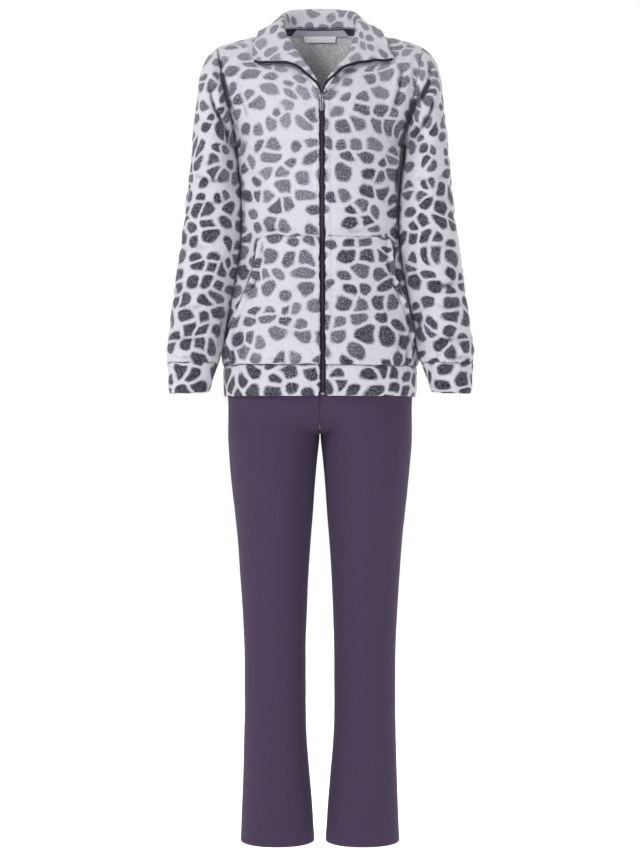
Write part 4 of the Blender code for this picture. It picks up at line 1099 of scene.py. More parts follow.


def contact_x(points):
    """Where the sleeve and the body side meet: half way between them, slanting outwards to the
    back, so that no light comes through."""
    z = points[..., 2]
    inner = np.array([(row[1], row[0]) for row in SLEEVE[::-1]], float)
    rings = np.array([(row[0], row[1]) for row in BODY], float)
    middle = (np.interp(z, inner[:, 0], inner[:, 1]) + np.interp(z, rings[:, 0], rings[:, 1])) / 2
    return middle - 0.5 + CONTACT_SLANT * (points[..., 1] - CONTACT_Y)


def pressed(points, way):
    """Sleeve (way 1) or body (way -1) swells towards the other where they hang together, and stops short of
    the surface between them. Also gives how much painted shade the crease gets there."""
    side = np.sign(points[..., 0])
    out = np.abs(points[..., 0])
    z, line = points[..., 2], contact_x(points)
    near = np.interp(z, CONTACT_Z, CONTACT_STRENGTH)
    room = np.maximum(way * (out - line), 0.0)
    reach = SWELL * near * bell(room, SWELL) * bell(points[..., 1] - CONTACT_Y, SWELL_SPREAD)
    moved = way * (line + way * np.maximum(room - reach, CONTACT_GAP))
    low = (z < CONTACT_Z[-1]) & (z > CONTACT_Z[0])
    result = points.copy()
    result[..., 0] = np.where(low, side * way * moved, points[..., 0])
    depth = np.interp(z, SHADE_Z, SHADE_STRENGTH) * np.where(side > 0, 1.0, RIGHT_SHADE)
    return result, depth * bell(np.maximum(room - reach, 0), CONTACT_SHADE)


def settled(points):
    """All cloth near the band's seam wanders up and down with it, and near the pockets' top seam
    on the front, so that those seams aren't ruled lines."""
    z = points[..., 2]
    band = 1.7 * lumps(points, 23, 51) * bell(z - BAND_Z, 16)
    front = rising(-points[..., 1], 0, 60)
    pocket = (2.0 * lumps(points, 27, 52) - 1.2) * bell(z - POCKET_TOP_Z, 18) * front
    moved = points.copy()
    moved[..., 2] += band + pocket
    return moved


print("they touch", contact_x(np.array([0.0, CONTACT_Y, -400.0])).round(1), "mm out, 400 mm down")

# %% One piece of fleece
ARMHOLE_X, ARMHOLE_Z, TURN_WIDTH = 169.0, -90.0, 12   # the armhole's middle, how far normals turn


def seam_normals(grid, closed, armhole):
    """Normals that agree on both sides of the armhole and the shoulder seam, so that both edges
    move the same way: near the armhole they turn towards the way out from its middle, and near
    the shoulder seam they turn upwards."""
    normal = normals(grid, closed)
    distance = border_distance(grid, closed)
    side = np.sign(grid[..., :1])
    if armhole:
        close = np.min([distance[border] for border in armhole], axis=0)
        high = rising(grid[..., 2] - ARMPIT_Z, -12, 24)
        weight = (bell(close, TURN_WIDTH) * high)[..., None]
        out = unit(grid - side * np.array([ARMHOLE_X, 0, 0]) - np.array([0, 0, ARMHOLE_Z]))
        normal = normal * (1 - weight) + out * weight
    if not closed and grid[-1, :, 2].max() > 0:
        shoulder = rising(np.abs(grid[..., 0]), 58, 14)
        weight = (bell(distance["top"], TURN_WIDTH) * shoulder)[..., None]
        normal = normal * (1 - weight) + np.array([0.0, 0.0, 1.0]) * weight
    return unit(normal)


CREASE_AT_SEAM = 0.30   # how much painted shade a seam gets, beside the deepest fold
FULL_CREASE = 5         # depth of a fold whose painted shade is full, millimetres


def relief_share(grid):
    """How much of its relief the cloth keeps: none at the armpit's point, and none inside the
    nape, where the tape lies flat."""
    x, y, z = np.abs(grid[..., 0]), grid[..., 1], grid[..., 2]
    armpit = bell(np.hypot(x - SLEEVE[0][0], np.hypot(y / 2, z - ARMPIT_Z)), 13)
    nape = np.clip(2 - x / 45, 0, 1) * rising(z, -52, 25)
    return (1 - armpit) * (1 - nape)


def fleece_piece(name, node, grid, borders, folds=(), closed=False, thickness=FLEECE, lined=True,
                 extra=0.0, corner=(0.0, 0.0), start_column=0, wave=None, uv=None,
                 press=0, armhole=(), shade=0.0):
    """Relief, wall, painted shade of its creases and declaration of one piece of printed fleece."""
    if uv is None:
        uv = flat_map(grid, closed, start_column, corner)
    sunk, creased = seam_dip(grid, borders, closed), folded(grid, folds, closed)
    height = (fleece_relief(grid) - sunk + creased + extra) * relief_share(grid)
    uneven = 0.75 + 0.6 * lumps(grid, 11, 71)
    # painted shade: deep folds, seam dips and the given shade set how dark the colour is painted
    crease = np.clip(-creased / FULL_CREASE, 0, 1.2) + CREASE_AT_SEAM * sunk / SEAM_DEPTH + shade
    crease = np.clip(crease * uneven, 0, 1)
    shaped = grid + seam_normals(grid, closed, armhole) * height[..., None]
    if wave is not None:
        shaped = shaped + wave
    if press:
        shaped, contact = pressed(shaped, press)
        # painted shade in the crease where sleeve and body hang together
        crease = np.maximum(crease, np.clip(contact * 1.25 * uneven, 0, 1))
    openness = np.clip(0.6 + 1.0 * lumps(grid, 16, 61), 0.08, 1.2)
    shaped = draw_in(settled(shaped), closed, EDGE_REACH * openness + SEAM_GAP / 2)
    materials = (print_material, reverse_material) if lined else (print_material,)
    piece = wall(name, shaped, thickness, uv, materials, closed, reach=EDGE_REACH * openness)
    rims = [np.tile(loop[:-1], 2) for loop in border_chains(grid_index(*grid.shape[:2], closed), closed)]
    order = np.concatenate([np.arange(crease.size), np.arange(crease.size), *rims])
    add_wash_and_shade(piece, crease.ravel()[order])
    declare(piece, node, uv)


print("a full crease is", FULL_CREASE, "mm deep")


# %% [markdown]
# # Turned edges
# Beside the zip a front is folded in and stitched down, which leaves a soft roll, a puckered
# line and an edge that swings a little. Bell curves of the distance from the edge give all three.

# %% Edges beside the zip and the pockets
def zip_wave(grid, side, column):
    """The edge beside the zip swings in and out a little."""
    distance = border_distance(grid)["first" if column == 0 else "last"]
    z = grid[..., 2:3] * np.ones(3)
    swing = 1.3 * lumps(z + np.array([0, 0, 40.0 * side]), 15, 11) + 0.7 * lumps(z, 7, 12) + 0.6
    return side * (swing * bell(distance, 7))[..., None] * np.array([-1.0, 0.0, 0.0])


def zip_roll(grid, column):
    """Height of the turned edge beside the zip, and of the line of stitches that holds it."""
    distance = border_distance(grid)["first" if column == 0 else "last"]
    puckers = 1 + 0.5 * lumps(grid, 11, 13)
    return 1.5 * bell(distance - 5, 3.5) - 1.5 * puckers * bell(distance - 11.5, 2.2)


POCKET_Z = (-579, -522, -465, -408, -352)
POCKET_SHADE, RIM_SHADE_WIDTH = 0.95, 5.5


def pocket_opening(side_name, z):
    """Distance from the middle of the jacket to a pocket's slanted edge."""
    return np.interp(z, POCKET_Z, POCKET_EDGE[side_name])


def under_pocket_rim(grid, side_name):
    """The front is in shade just beside the pocket's opening."""
    z = grid[..., 2]
    beside = np.abs(grid[..., 0]) - pocket_opening(side_name, z)
    ends = rising(z - BAND_Z, 6, 10) * rising(POCKET_TOP_Z - z, 4, 10)
    return POCKET_SHADE * ends * bell(beside - 2.0, RIM_SHADE_WIDTH)


print("the pockets open", POCKET_EDGE["left"], "mm from the middle")

# %% Fronts and back
for side_name, column, outer, corner_x, folds in (
        ("left", 0, "last", 1.3, LEFT_FRONT_FOLDS), ("right", -1, "first", 2.1, RIGHT_FRONT_FOLDS)):
    side = SIDES[side_name]
    grid = fronts[side_name][:, ::side]
    fleece_piece("front_" + side_name, "jacket_front_" + side_name, grid, ("foot", "top", outer), folds,
                 extra=zip_roll(grid, column), wave=zip_wave(grid, side, column),
                 corner=(corner_x, 0.37), start_column=column % grid.shape[1], press=-1,
                 armhole=(outer,), shade=under_pocket_rim(grid, side_name))
fleece_piece("back", "jacket_back", back, ("foot", "top", "first", "last"), BACK_FOLDS,
             corner=(3.4, 0.11), start_column=back.shape[1] // 2, press=-1, armhole=("first", "last"))
print(report_rows)

# %% [markdown]
# # Hem band, sleeves and cuffs
# The band and the cuffs are folded double, so their lower edge is round and thick, and the print
# shows inside them as well. A sleeve is a tube: ellipses from the tilted armhole to a level ring
# above the cuff, where the extra width is gathered into the seam.

# %% Hem band
BAND_TURN, END_ROUNDING, END_HEIGHT, END_WIDTH = 2.2, 3.2, 7, 8    # its fold, and its ends' corners


def band_surface():
    """The body's lowest row, scaled to the band's own rings."""
    left, right = fronts["left"][0], fronts["right"][0]
    seam = np.vstack([left, back[0, 1:-1], right[::-1]])
    heights = np.linspace(HEM_Z + DOUBLE / 2, BAND_Z, 22)
    rings = steady([row[0] for row in BODY], [row[1:] for row in BODY], np.append(heights, BAND_Z))
    half, fore, aft = rings[-1]
    rows = []
    for z, (wide, front, rear) in zip(heights, rings):
        inset = BAND_TURN * np.exp(-(z - HEM_Z) / 5)
        row = seam.copy()
        row[:, 0] *= (wide - inset) / half
        row[:, 1] *= np.where(seam[:, 1] < 0, (front - inset) / fore, (rear - inset) / aft)
        row[:, 2] = z
        row[0, 0], row[-1, 0] = zip_x(z) + ZIP_HALF, zip_x(z) - ZIP_HALF
        rows.append(row)
    return np.array(rows)


band = band_surface()
notch = np.zeros_like(band)
rounding = END_ROUNDING * bell(band[:, :, 2] - HEM_Z, END_HEIGHT)
ends = border_distance(band)
notch[..., 0] = rounding * (bell(ends["first"], END_WIDTH) - bell(ends["last"], END_WIDTH))
notch = notch + zip_wave(band, 1, 0) + zip_wave(band, -1, -1)
fleece_piece("hem_band_cloth", "hem_band", band, ("top",), thickness=DOUBLE, lined=False,
             corner=(5.2, 0.23), extra=zip_roll(band, 0) + zip_roll(band, -1), wave=notch,
             start_column=band.shape[1] // 2)
print(report_rows[-1])

# %% Tubes, gathers and the sleeve's map
def tube_surface(table, side, rows, columns, passes):
    """Rings read along a table of rings, foot first; the columns start under the arm."""
    knots = np.array(table, float)
    in_x, in_z, out_x, out_z, y = knots[:, :5].T
    middles = np.stack([(in_x + out_x) / 2, y, (in_z + out_z) / 2], axis=1)
    rings = soften(steady(chord(middles), knots, np.linspace(0, 1, rows)), passes)
    angle = side * (np.linspace(0, 2 * np.pi, columns, endpoint=False) - np.pi)
    return np.array([tube_section(row, side, angle) for row in rings[::-1]])


def gathers(grid, border, count, height, reach):
    """Small pleats that run out from a gathered seam, each of its own height."""
    distance = border_distance(grid, True)[border]
    turn = np.linspace(0, 2 * np.pi, grid.shape[1], endpoint=False)[None, :]
    uneven = 0.6 + 0.7 * lumps(grid, 26, 21)
    pleats = np.sin(count * turn + 1.5 * np.sin(3 * turn))
    return height * pleats * np.exp(-(distance / reach)) * uneven


SLEEVE_LEAN = 1.04    # the sleeve is this much longer than it is high


def sleeve_map(grid, corner):
    """The print goes round a sleeve as round an upright cylinder: the angle about the sleeve's
    middle times its mean girth, and the height. The seam of the map lies under the arm."""
    in_x, in_z, out_x, out_z, y, front, rear = np.array(SLEEVE[::-1], float).T
    grid = np.concatenate([grid, grid[:, :1]], axis=1)
    z = grid[..., 2]
    inner, outer = np.interp(z, in_z, in_x), np.interp(z, out_z, out_x)
    across = (np.abs(grid[..., 0]) - (inner + outer) / 2) / ((outer - inner) / 2)
    along = (grid[..., 1] - np.interp(z, out_z, y)) / np.interp(z, out_z, front)
    angle = np.arctan2(along, across) * np.sign(grid[0, 0, 0])
    columns = grid.shape[1] - 1
    turn = 2 * np.pi * (np.arange(columns + 1) - columns // 2) / columns
    angle = angle + 2 * np.pi * np.round((turn - angle) / (2 * np.pi))
    girth = np.interp(z, out_z, (out_x - in_x + front + rear) / 4)
    return np.stack([angle * girth, SLEEVE_LEAN * z], axis=-1) * MM + np.array(corner)


print("the sleeve is", SLEEVE_LEAN, "times as long as it is high")

# %% Sleeves and cuffs
SLEEVE_SHAPE, CUFF_SHAPE = (196, 132), (20, 100)     # rows and columns
SLEEVE_SOFTENING, CUFF_SOFTENING = 30, 4
for side_name, side in SIDES.items():
    sleeve = tube_surface(SLEEVE, side, *SLEEVE_SHAPE, SLEEVE_SOFTENING)
    folds = (LEFT_ARM_FOLDS + SLEEVE_FOLDS if side > 0 else RIGHT_ARM_FOLDS + mirrored(SLEEVE_FOLDS))
    fleece_piece("sleeve_cloth_" + side_name, "sleeve_" + side_name, sleeve, ("foot", "top"), folds,
                 closed=True, uv=sleeve_map(sleeve, (6.3 + 1.1 * side, 1.71)), press=1,
                 armhole=("top",), extra=gathers(sleeve, "foot", 23, 2.0, 13))
    cuff = tube_surface(CUFF, side, *CUFF_SHAPE, CUFF_SOFTENING)
    fleece_piece("cuff_cloth_" + side_name, "cuff_" + side_name, cuff, ("top",), closed=True,
                 thickness=DOUBLE, lined=False, corner=(9.1 + 0.7 * side, 0.53),
                 start_column=CUFF_SHAPE[1] // 2, extra=gathers(cuff, "top", 17, 1.3, 10), press=1)
print(report_rows[-4:])

# %% [markdown]
# # Collar
# The collar is two layers of fleece sewn to the neck and turned down. Each section runs from the
# neck seam up over the crest to the free edge. It stands behind the neck, and in front the leaf
# falls on the chest, where what shows is the layer that faces the neck behind.

# %% Collar
CREST_NEAR, CREST_FAR, CREST_SHARE = 8.0, 9.0, 0.45
COLLAR_SHAPE = (46, 210)             # rows and columns
LEAF_RELIEF, CALM_LENGTH, LAYER_GAP = 0.75, 22, 0.2


def collar_section(seam, crest, edge):
    """Seven points: seam, stand, a roll of three points at the crest, leaf and edge."""
    near = crest + (seam - crest) * min(CREST_SHARE, CREST_NEAR / np.linalg.norm(seam - crest))
    far = crest + (edge - crest) * min(CREST_SHARE, CREST_FAR / np.linalg.norm(edge - crest))
    top = (near + 2 * crest + far) / 4
    return np.array([seam, (seam + near) / 2, near, top, far, (far + edge) / 2, edge])


def collar_sections():
    """Sections from the slider round the nape and back to the slider."""
    lines = []
    for k in range(3):
        nape = [sided(row[k], 1) for row in NAPE] + [sided(row[k], -1) for row in NAPE[-2::-1]]
        lines.append(np.vstack([neck_line("left", k), nape, neck_line("right", k)[::-1]]))
    return np.array([collar_section(*points) for points in zip(*lines)])


def collar_surface(sections):
    """Splines along the sections and then across them."""
    along = spline(chord(sections), sections, np.linspace(0, 1, COLLAR_SHAPE[1])).transpose(1, 0, 2)
    return spline(chord(along), along, np.linspace(0, 1, COLLAR_SHAPE[0]))


sections = collar_sections()
collar = collar_surface(sections)
ends = border_distance(collar)
along = running(steps(collar, 1).mean(axis=0))
collar_uv = np.stack([along + 0 * collar[..., 0], ends["foot"]], axis=-1) * MM + (11.3, 0.45)
calm = np.clip(np.minimum(ends["first"], ends["last"]) / CALM_LENGTH, 0.1, 1)
relief = LEAF_RELIEF * calm * fleece_relief(collar) - seam_dip(collar, ("foot", "top"), depth=0.6)
leaf = collar + normals(collar) * relief[..., None]
for layer, start_depth in (("outer", 0.0), ("inner", COLLAR_LAYER + LAYER_GAP)):
    face = draw_in(leaf - normals(leaf) * start_depth, False, EDGE_REACH)
    piece = wall(f"collar_{layer}_cloth", face, COLLAR_LAYER, collar_uv, (print_material,))
    add_wash_and_shade(piece)
    declare(piece, "collar_" + layer, collar_uv)
print("the collar is", round(float(np.ptp(collar_uv[..., 0])), 3), "m round")

# %% [markdown]
# # Pockets
# Each patch pocket is sewn in at the zip, the top and the band, and opens along a slanted edge
# at the side. It is made of the front's own points moved out by its thickness. The opening is
# bound in a soft roll, held by one line of stitches that puckers it.

# %% Pockets
POCKET_SHAPE = (78, 54)              # rows and columns
ROLL_AT, ROLL_HEIGHT, ROLL_WIDTH = 4.5, 3.8, 4.0               # the bound edge of the opening
STITCHED_AT, STITCHED_DEPTH, STITCHED_WIDTH = 11.5, 3.4, 2.4   # the line that holds it
GAPE_Z, GAPE, CLEAR = -440, 2.5, 0.8                           # how far it stands open, and off
for side_name, column, open_side, folds in (("left", 0, "last", LEFT_FRONT_FOLDS),
                                            ("right", -1, "first", RIGHT_FRONT_FOLDS)):
    side = SIDES[side_name]
    heights = np.linspace(BAND_Z, POCKET_TOP_Z, POCKET_SHAPE[0])
    opening = spline(POCKET_Z, np.array(POCKET_EDGE[side_name], float), heights)
    zip_edge = np.abs(zip_x(heights) + side * ZIP_HALF)
    grid = body_rings(heights, side, -1, zip_edge, opening, POCKET_SHAPE[1])[:, ::side]
    ends = border_distance(grid)
    away = ends[open_side]
    puckers = np.clip(1 + 1.1 * lumps(grid, 15, 31) + 0.6 * lumps(grid, 8, 32), 0.05, 2.0)
    free = rising(ends["foot"], 0, 12) * rising(ends["top"], 0, 10)
    roll = ROLL_HEIGHT * puckers * bell(away - ROLL_AT, ROLL_WIDTH)
    stitched = -STITCHED_DEPTH * puckers * bell(away - STITCHED_AT, STITCHED_WIDTH)
    gape = GAPE * bell(away, 14) * bell(heights[:, None] - GAPE_Z, 50)
    sag = -1.2 * bell(ends["top"] - 5, 3)
    lift = FLEECE + REST_GAP + CLEAR + (roll + stitched) * free + gape + sag
    # painted shade along the puckered line of stitches beside the opening
    fleece_piece("pocket_cloth_" + side_name, "pocket_" + side_name, grid, ("foot", "top"), folds,
                 extra=lift + zip_roll(grid, column), corner=(13.0 + 0.9 * side, 0.66),
                 wave=zip_wave(grid, side, column),
                 shade=0.5 * free * puckers * bell(away - STITCHED_AT, 2.6))
print(report_rows[-2:])

# %% [markdown]
# # Inside the nape
# A flat tape covers the neck seam inside, with a narrow dark piping above it, and the label is
# sewn in below. The label is left blank. All three lie on the inner face of the back.

# %% Tape, piping and label
def inside_back(drops, across, lift):
    """The back's inner face, read by distance below the neck seam and share of the half neck."""
    half_neck = round(BACK_COLUMNS * NECK_SHARE)
    middle = back.shape[1] // 2
    inner = back - normals(back) * (FLEECE + lift)
    strip = inner[::-1, middle - half_neck:middle + half_neck + 1]
    rows = np.interp(drops, running(steps(strip).mean(axis=1)), np.arange(len(strip)))
    lines = sample_line(strip.reshape(len(strip), -1), rows).reshape(len(rows), -1, 3)
    columns = lines.transpose(1, 0, 2).reshape(strip.shape[1], -1)
    return sample_line(columns, (1 + across) * half_neck).reshape(len(across), -1, 3).transpose(1, 0, 2)


def nape_strip(drops, reaches, columns, lift):
    """Rows below the neck seam, each to its own share of the half neck, seen from inside."""
    rows = [inside_back(np.array([drop]), np.linspace(-reach, reach, columns), lift)[0]
            for drop, reach in zip(drops, np.broadcast_to(reaches, len(drops)))]
    return np.array(rows)[:, ::-1]


NAPE_STRIPS = (
    # name, node, slot, material, rests on, drops, reaches, columns, lift, thickness, edge reach
    ("nape_tape", "neck_tape", "neck_tape", neck_tape_material, "back",
     np.linspace(16.5, 3.2, 9), np.linspace(0.66, 0.50, 9), 80, 1.6, 0.8, EDGE_REACH),
    ("nape_facing", "neck_piping", "piping", piping_material, "back",
     np.linspace(14.0, 2.6, 6), 0.99, 90, 0.55, 0.4, 0.15),
    ("nape_label", "neck_label", "label", label_material, "nape_tape",
     np.linspace(26.5, 15.0, 8), 0.35, 30, 2.6, 0.5, EDGE_REACH),
)
for name, node, slot, material, under, drops, reaches, columns, lift, thickness, reach in NAPE_STRIPS:
    grid = nape_strip(drops, reaches, columns, lift)
    uv = flat_map(grid)
    declare(wall(name, grid, thickness, uv, (material,), reach=reach), node, uv)
print(report_rows[-3:])

# %% [markdown]
# # Cords of cloth and rows of stitches
# Piping is a round cord, a stitch is a short bead of thread, and a zip's teeth are beads too. A
# round section carried along a path makes a cord, and one bead shape set down again and again
# along a path makes the rest, each from whole arrays.

# %% Cords
def frames_along(path, up):
    """The path's direction, the way out, and the way across, at every point of it."""
    ahead = unit(np.gradient(path, axis=0))
    out = unit(up - (up * ahead).sum(axis=1, keepdims=True) * ahead)
    return ahead, out, np.cross(out, ahead)


def sweep(path, up, half_out, half_across, sides=12, power=2.0):
    """A closed tube: a superellipse of the two half sizes at each point, shut at both ends."""
    ahead, out, across = frames_along(path, up)
    half_out, half_across = (np.broadcast_to(h, len(path))[:, None, None] for h in (half_out, half_across))
    turn = np.linspace(0, 2 * np.pi, sides, endpoint=False)
    c, s = (squared(f, 2 / power) for f in (np.cos(turn), np.sin(turn)))
    rings = (path[:, None] + half_out * c[None, :, None] * out[:, None]
             + half_across * s[None, :, None] * across[:, None])
    index = grid_index(len(path), sides, True)
    first, last = index[0], index[-1]
    count = len(path) * sides
    faces = [corners(index), np.stack([first[1:], first[:-1], np.full(sides, count)], axis=1),
             np.stack([last[:-1], last[1:], np.full(sides, count + 1)], axis=1)]
    points = np.concatenate([rings.reshape(-1, 3), path[:1], path[-1:]])
    around = np.linspace(0, 1, sides + 1) * 4 * float(np.mean(half_out + half_across)) * 0.8
    uv = np.stack(np.broadcast_arrays(around[None, :], running(steps(path))[:, None]), axis=-1) * MM
    maps = [corners(uv).reshape(-1, 2)] + 2 * [np.zeros((3 * sides, 2))]
    return points, faces, maps


test_path = np.stack([np.arange(3.0), np.zeros(3), np.zeros(3)], axis=1)
print("a short cord has", len(sweep(test_path, np.full((3, 3), (0.0, 0.0, 1.0)), 1.0, 1.0)[0]), "points")


# %% Beads and pieces of several parts
def beads(middles, ahead, out, across, size, rings=4, sides=6):
    """One closed bead for every place: a lengthwise row of rings between two poles, as long,
    deep and wide as size says along the three directions."""
    turn = np.linspace(0, 2 * np.pi, sides, endpoint=False)
    level = np.linspace(0, np.pi, rings + 2)[1:-1]
    along, round_it = -np.cos(level)[:, None], np.sin(level)[:, None]
    ring = np.stack(np.broadcast_arrays(along, round_it * np.cos(turn), round_it * np.sin(turn)), axis=-1)
    ring = ring.reshape(-1, 3)
    ring[:, 1:] = squared(ring[:, 1:], 0.8)
    shape = np.vstack([ring, [[-1, 0, 0], [1, 0, 0]]]) * np.array(size) / 2
    index = grid_index(rings, sides, True)
    south, north = (np.full(sides, rings * sides + n) for n in (0, 1))
    caps = [np.stack([south, index[0, :-1], index[0, 1:]], axis=1),
            np.stack([index[-1, 1:], index[-1, :-1], north], axis=1)]
    axes = np.stack([ahead, out, across], axis=1)
    points = (middles[:, None] + np.einsum("sk,nkj->nsj", shape, axes)).reshape(-1, 3)
    shift = (np.arange(len(middles)) * len(shape))[:, None, None]
    faces = [(part + shift).reshape(-1, part.shape[1])
             for part in (corners(index)[:, ::-1], np.concatenate(caps))]
    return points, faces, [points[part.ravel()][:, (0, 2)] * MM for part in faces]


def joined(name, parts, material):
    """Several tubes or rows of beads in one mesh."""
    points, polygons, maps, total = [], [], [], 0
    for found, faces, flat in parts:
        points.append(found)
        for part in faces:
            polygons += (part + total).tolist()
        maps += flat
        total += len(found)
    return mesh_object(name, np.concatenate(points), polygons, np.concatenate(maps), (material,))


def tie(piece, body, slot, *nodes):
    """Tie a hard piece, a cord or thread to the frame."""
    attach(piece, body)
    if nodes:
        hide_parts(*nodes)


print("cords and beads can be joined")

# %% Piping of the nape
PIPING_RADIUS = 1.3
piping_path = inside_back(np.array([1.6, 2.0]), np.linspace(-1.0, 1.0, 90), 1.4)[0]
toward_neck = unit(piping_path * np.array([-1.0, -1.0, 0.0]))
tie(joined("nape_piping", [sweep(piping_path, toward_neck, PIPING_RADIUS, PIPING_RADIUS)], piping_material),
    "garment", "piping", "neck_piping")
print("piping laid round the nape")

# %% [markdown]
# # Zip
# A coil zip: two woven tapes behind the edges of the fronts, the closed chain from the bottom
# stop to the slider, and above the slider the open edges, which run along the collar to its
# corners. The chain is two rows of small beads that take turns.

# %% Tapes
edge_line = np.concatenate([band[:-1, 0], fronts["left"][:, 0]])
edge_line = edge_line[edge_line[:, 2] <= SLIDER_Z + 1]
ZIP_LOW, CHAIN_TOP = HEM_Z + 4.0, SLIDER_MIDDLE_Z + 2.4


def zip_depth(z):
    """Depth of the tape's outer face behind the fronts."""
    wall_here = np.interp(z, (BAND_Z, BAND_Z + 7), (DOUBLE, FLEECE))
    return np.interp(z, edge_line[:, 2], edge_line[:, 1]) + wall_here + TAPE_CLEARANCE


def zip_point(z, offset, forward):
    """A point beside the zip's line, forward of its tape."""
    return np.stack([zip_x(z) + offset, zip_depth(z) - forward, z], axis=-1)


tape_z = np.linspace(ZIP_LOW, CHAIN_TOP, 120)
offsets = np.linspace(0.3, TAPE_REACH, 7)
ridge = 0.5 * bell(offsets - 1.2, 1.2)
for side_name, side in SIDES.items():
    columns = [zip_point(tape_z, side * offset, rise) for offset, rise in zip(offsets, ridge)]
    grid = np.stack(columns[::side], axis=1)
    uv = flat_map(grid)
    declare(wall("tape_" + side_name, grid, TAPE_DEPTH, uv, (tape_material,)), "zip_tape_" + side_name,
            uv)
print("tapes", report_rows[-2:])

# %% Chain and bottom stop
TOOTH_PITCH, TOOTH_OFFSET, TOOTH_LIFT, TOOTH_SIZE = 1.7, 1.15, 0.3, (3.9, CHAIN_DEPTH, 1.45)
tooth_z = np.arange(ZIP_LOW + STOP_HEIGHT + 1.5, CHAIN_TOP, TOOTH_PITCH)
rows = []
for side in SIDES.values():
    z = tooth_z + (TOOTH_PITCH / 2 if side > 0 else 0.0)
    middles = zip_point(z, side * TOOTH_OFFSET, CHAIN_DEPTH / 2 + TOOTH_LIFT)
    one = np.ones((len(z), 1))
    rows.append(beads(middles, one * [side, 0, 0.18], one * [0, -1.0, 0], one * [0, 0, 1.0], TOOTH_SIZE))
tie(joined("coil", rows, coil_material), "garment", "zip_coil", "zip_chain")

stop_middle = zip_point(np.array([ZIP_LOW + STOP_HEIGHT / 2]), 0.0, CHAIN_DEPTH / 2)
stop = beads(stop_middle, np.array([[0, 0, 1.0]]), np.array([[0, -1.0, 0]]), np.array([[1.0, 0, 0]]),
             (STOP_HEIGHT, CHAIN_DEPTH, 7.0), 6, 16)
tie(joined("bottom_stop", [stop], metal_material), "garment", "zip_metal", "zip_stop")
print(len(tooth_z), "teeth on each side")

# %% [markdown]
# # Open edges of the zip
# Above the slider each half of the zip runs on by itself, as a thick edge along the collar as far as its
# corner, in the tape's colour darkened by painted shade. It is a cord swept along a curve that starts in the
# slider's mouth.

# %% Open edges
SLIDER_MOUTH = ((1.9, -107.6, -97.0), (3.2, -109.3, -92.5))      # out from the zip's line, y, z
EDGE_DEPTH_HALF, EDGE_WIDTH_HALF, EDGE_POINTS = 1.8, 2.5, 120
edge_share = np.linspace(0, 1, EDGE_POINTS)
corner_column = chord(sections)[CORNER_SECTION] * (COLLAR_SHAPE[1] - 1)
where = np.linspace(0, corner_column - 0.6, 90)
for side_name, side in SIDES.items():
    order, lift = leaf[:, ::side], normals(leaf)[:, ::side]
    edge_points, before = (sample_line(order[row] - lift[row] * (COLLAR_LAYER + 0.1), where)
                           for row in (-1, -4))
    outward = unit(edge_points - before)
    outward[-6:] = outward[-7]
    middle = edge_points + outward * (EDGE_GAP + EDGE_WIDTH / 2)
    into = np.array([[ZIP_TOP_X + side * out, y, z] for out, y, z in SLIDER_MOUTH])
    knots = np.vstack([into, middle[4:]])
    middle = spline(chord(knots), knots, edge_share)
    taper = np.sqrt(np.clip((1 - edge_share) / 0.02, 0, 1)) * np.clip(0.55 + 5 * edge_share, 0, 1)
    taper = np.maximum(0.15, taper)
    up = sample_line(lift[-1], np.linspace(0, where[-1], EDGE_POINTS))
    up = up + np.clip(1 - 8 * edge_share, 0, 1)[:, None] * np.array([0.0, 2.0, 0.0])
    middle = middle - unit(up) * (0.5 + 1.6 * bell(edge_share - 0.12, 0.14))[:, None]
    tube = sweep(middle, up, EDGE_DEPTH_HALF * taper, EDGE_WIDTH_HALF * taper, 14, 2.4)
    tie(joined("open_edge_" + side_name, [tube], shaded_tape_material), "garment", "zip_tape",
        "zip_edge_" + side_name)
print("each open edge ends", round(float(chord(sections)[CORNER_SECTION]), 2), "of the way round the collar")

# %% [markdown]
# # Slider
# The slider is two small plates joined by a wedge, with a bridge on its face that carries the
# pull tab. Each is a bar of plated metal with soft corners, swept along a short path.

# %% Slider
NECK_FRONT = COLLAR["left"][0][0][1]
LEAN = np.arctan2(NECK_FRONT - CHEST_FRONT, SLIDER_Z - CHEST_Z)
slider_share = (SLIDER_MIDDLE_Z - CHEST_Z) / (SLIDER_Z - CHEST_Z)
slider_y = (CHEST_FRONT + (NECK_FRONT - CHEST_FRONT) * slider_share + FLEECE + TAPE_CLEARANCE - REST_GAP
            - CHAIN_DEPTH / 2)
SLIDER_AT = np.array([ZIP_TOP_X, slider_y, SLIDER_MIDDLE_Z])
ACROSS, UP = np.array([1.0, 0.0, 0.0]), np.array([0.0, np.sin(LEAN), np.cos(LEAN)])
INTO = np.array([0.0, np.cos(LEAN), -np.sin(LEAN)])


def on_slider(points):
    """Points given across, into the body and up the zip, put in place on the slider."""
    points = np.asarray(points, float)
    return SLIDER_AT + points[..., :1] * ACROSS + points[..., 1:2] * INTO + points[..., 2:3] * UP


def bar(across, into, up, facing, half_out, half_across, sides, power):
    """A metal bar through the given points of the slider, with one face turned to `facing`."""
    path = on_slider(np.stack(np.broadcast_arrays(across, into, up), axis=1))
    return sweep(path, np.broadcast_to(facing, path.shape), half_out, half_across, sides, power)


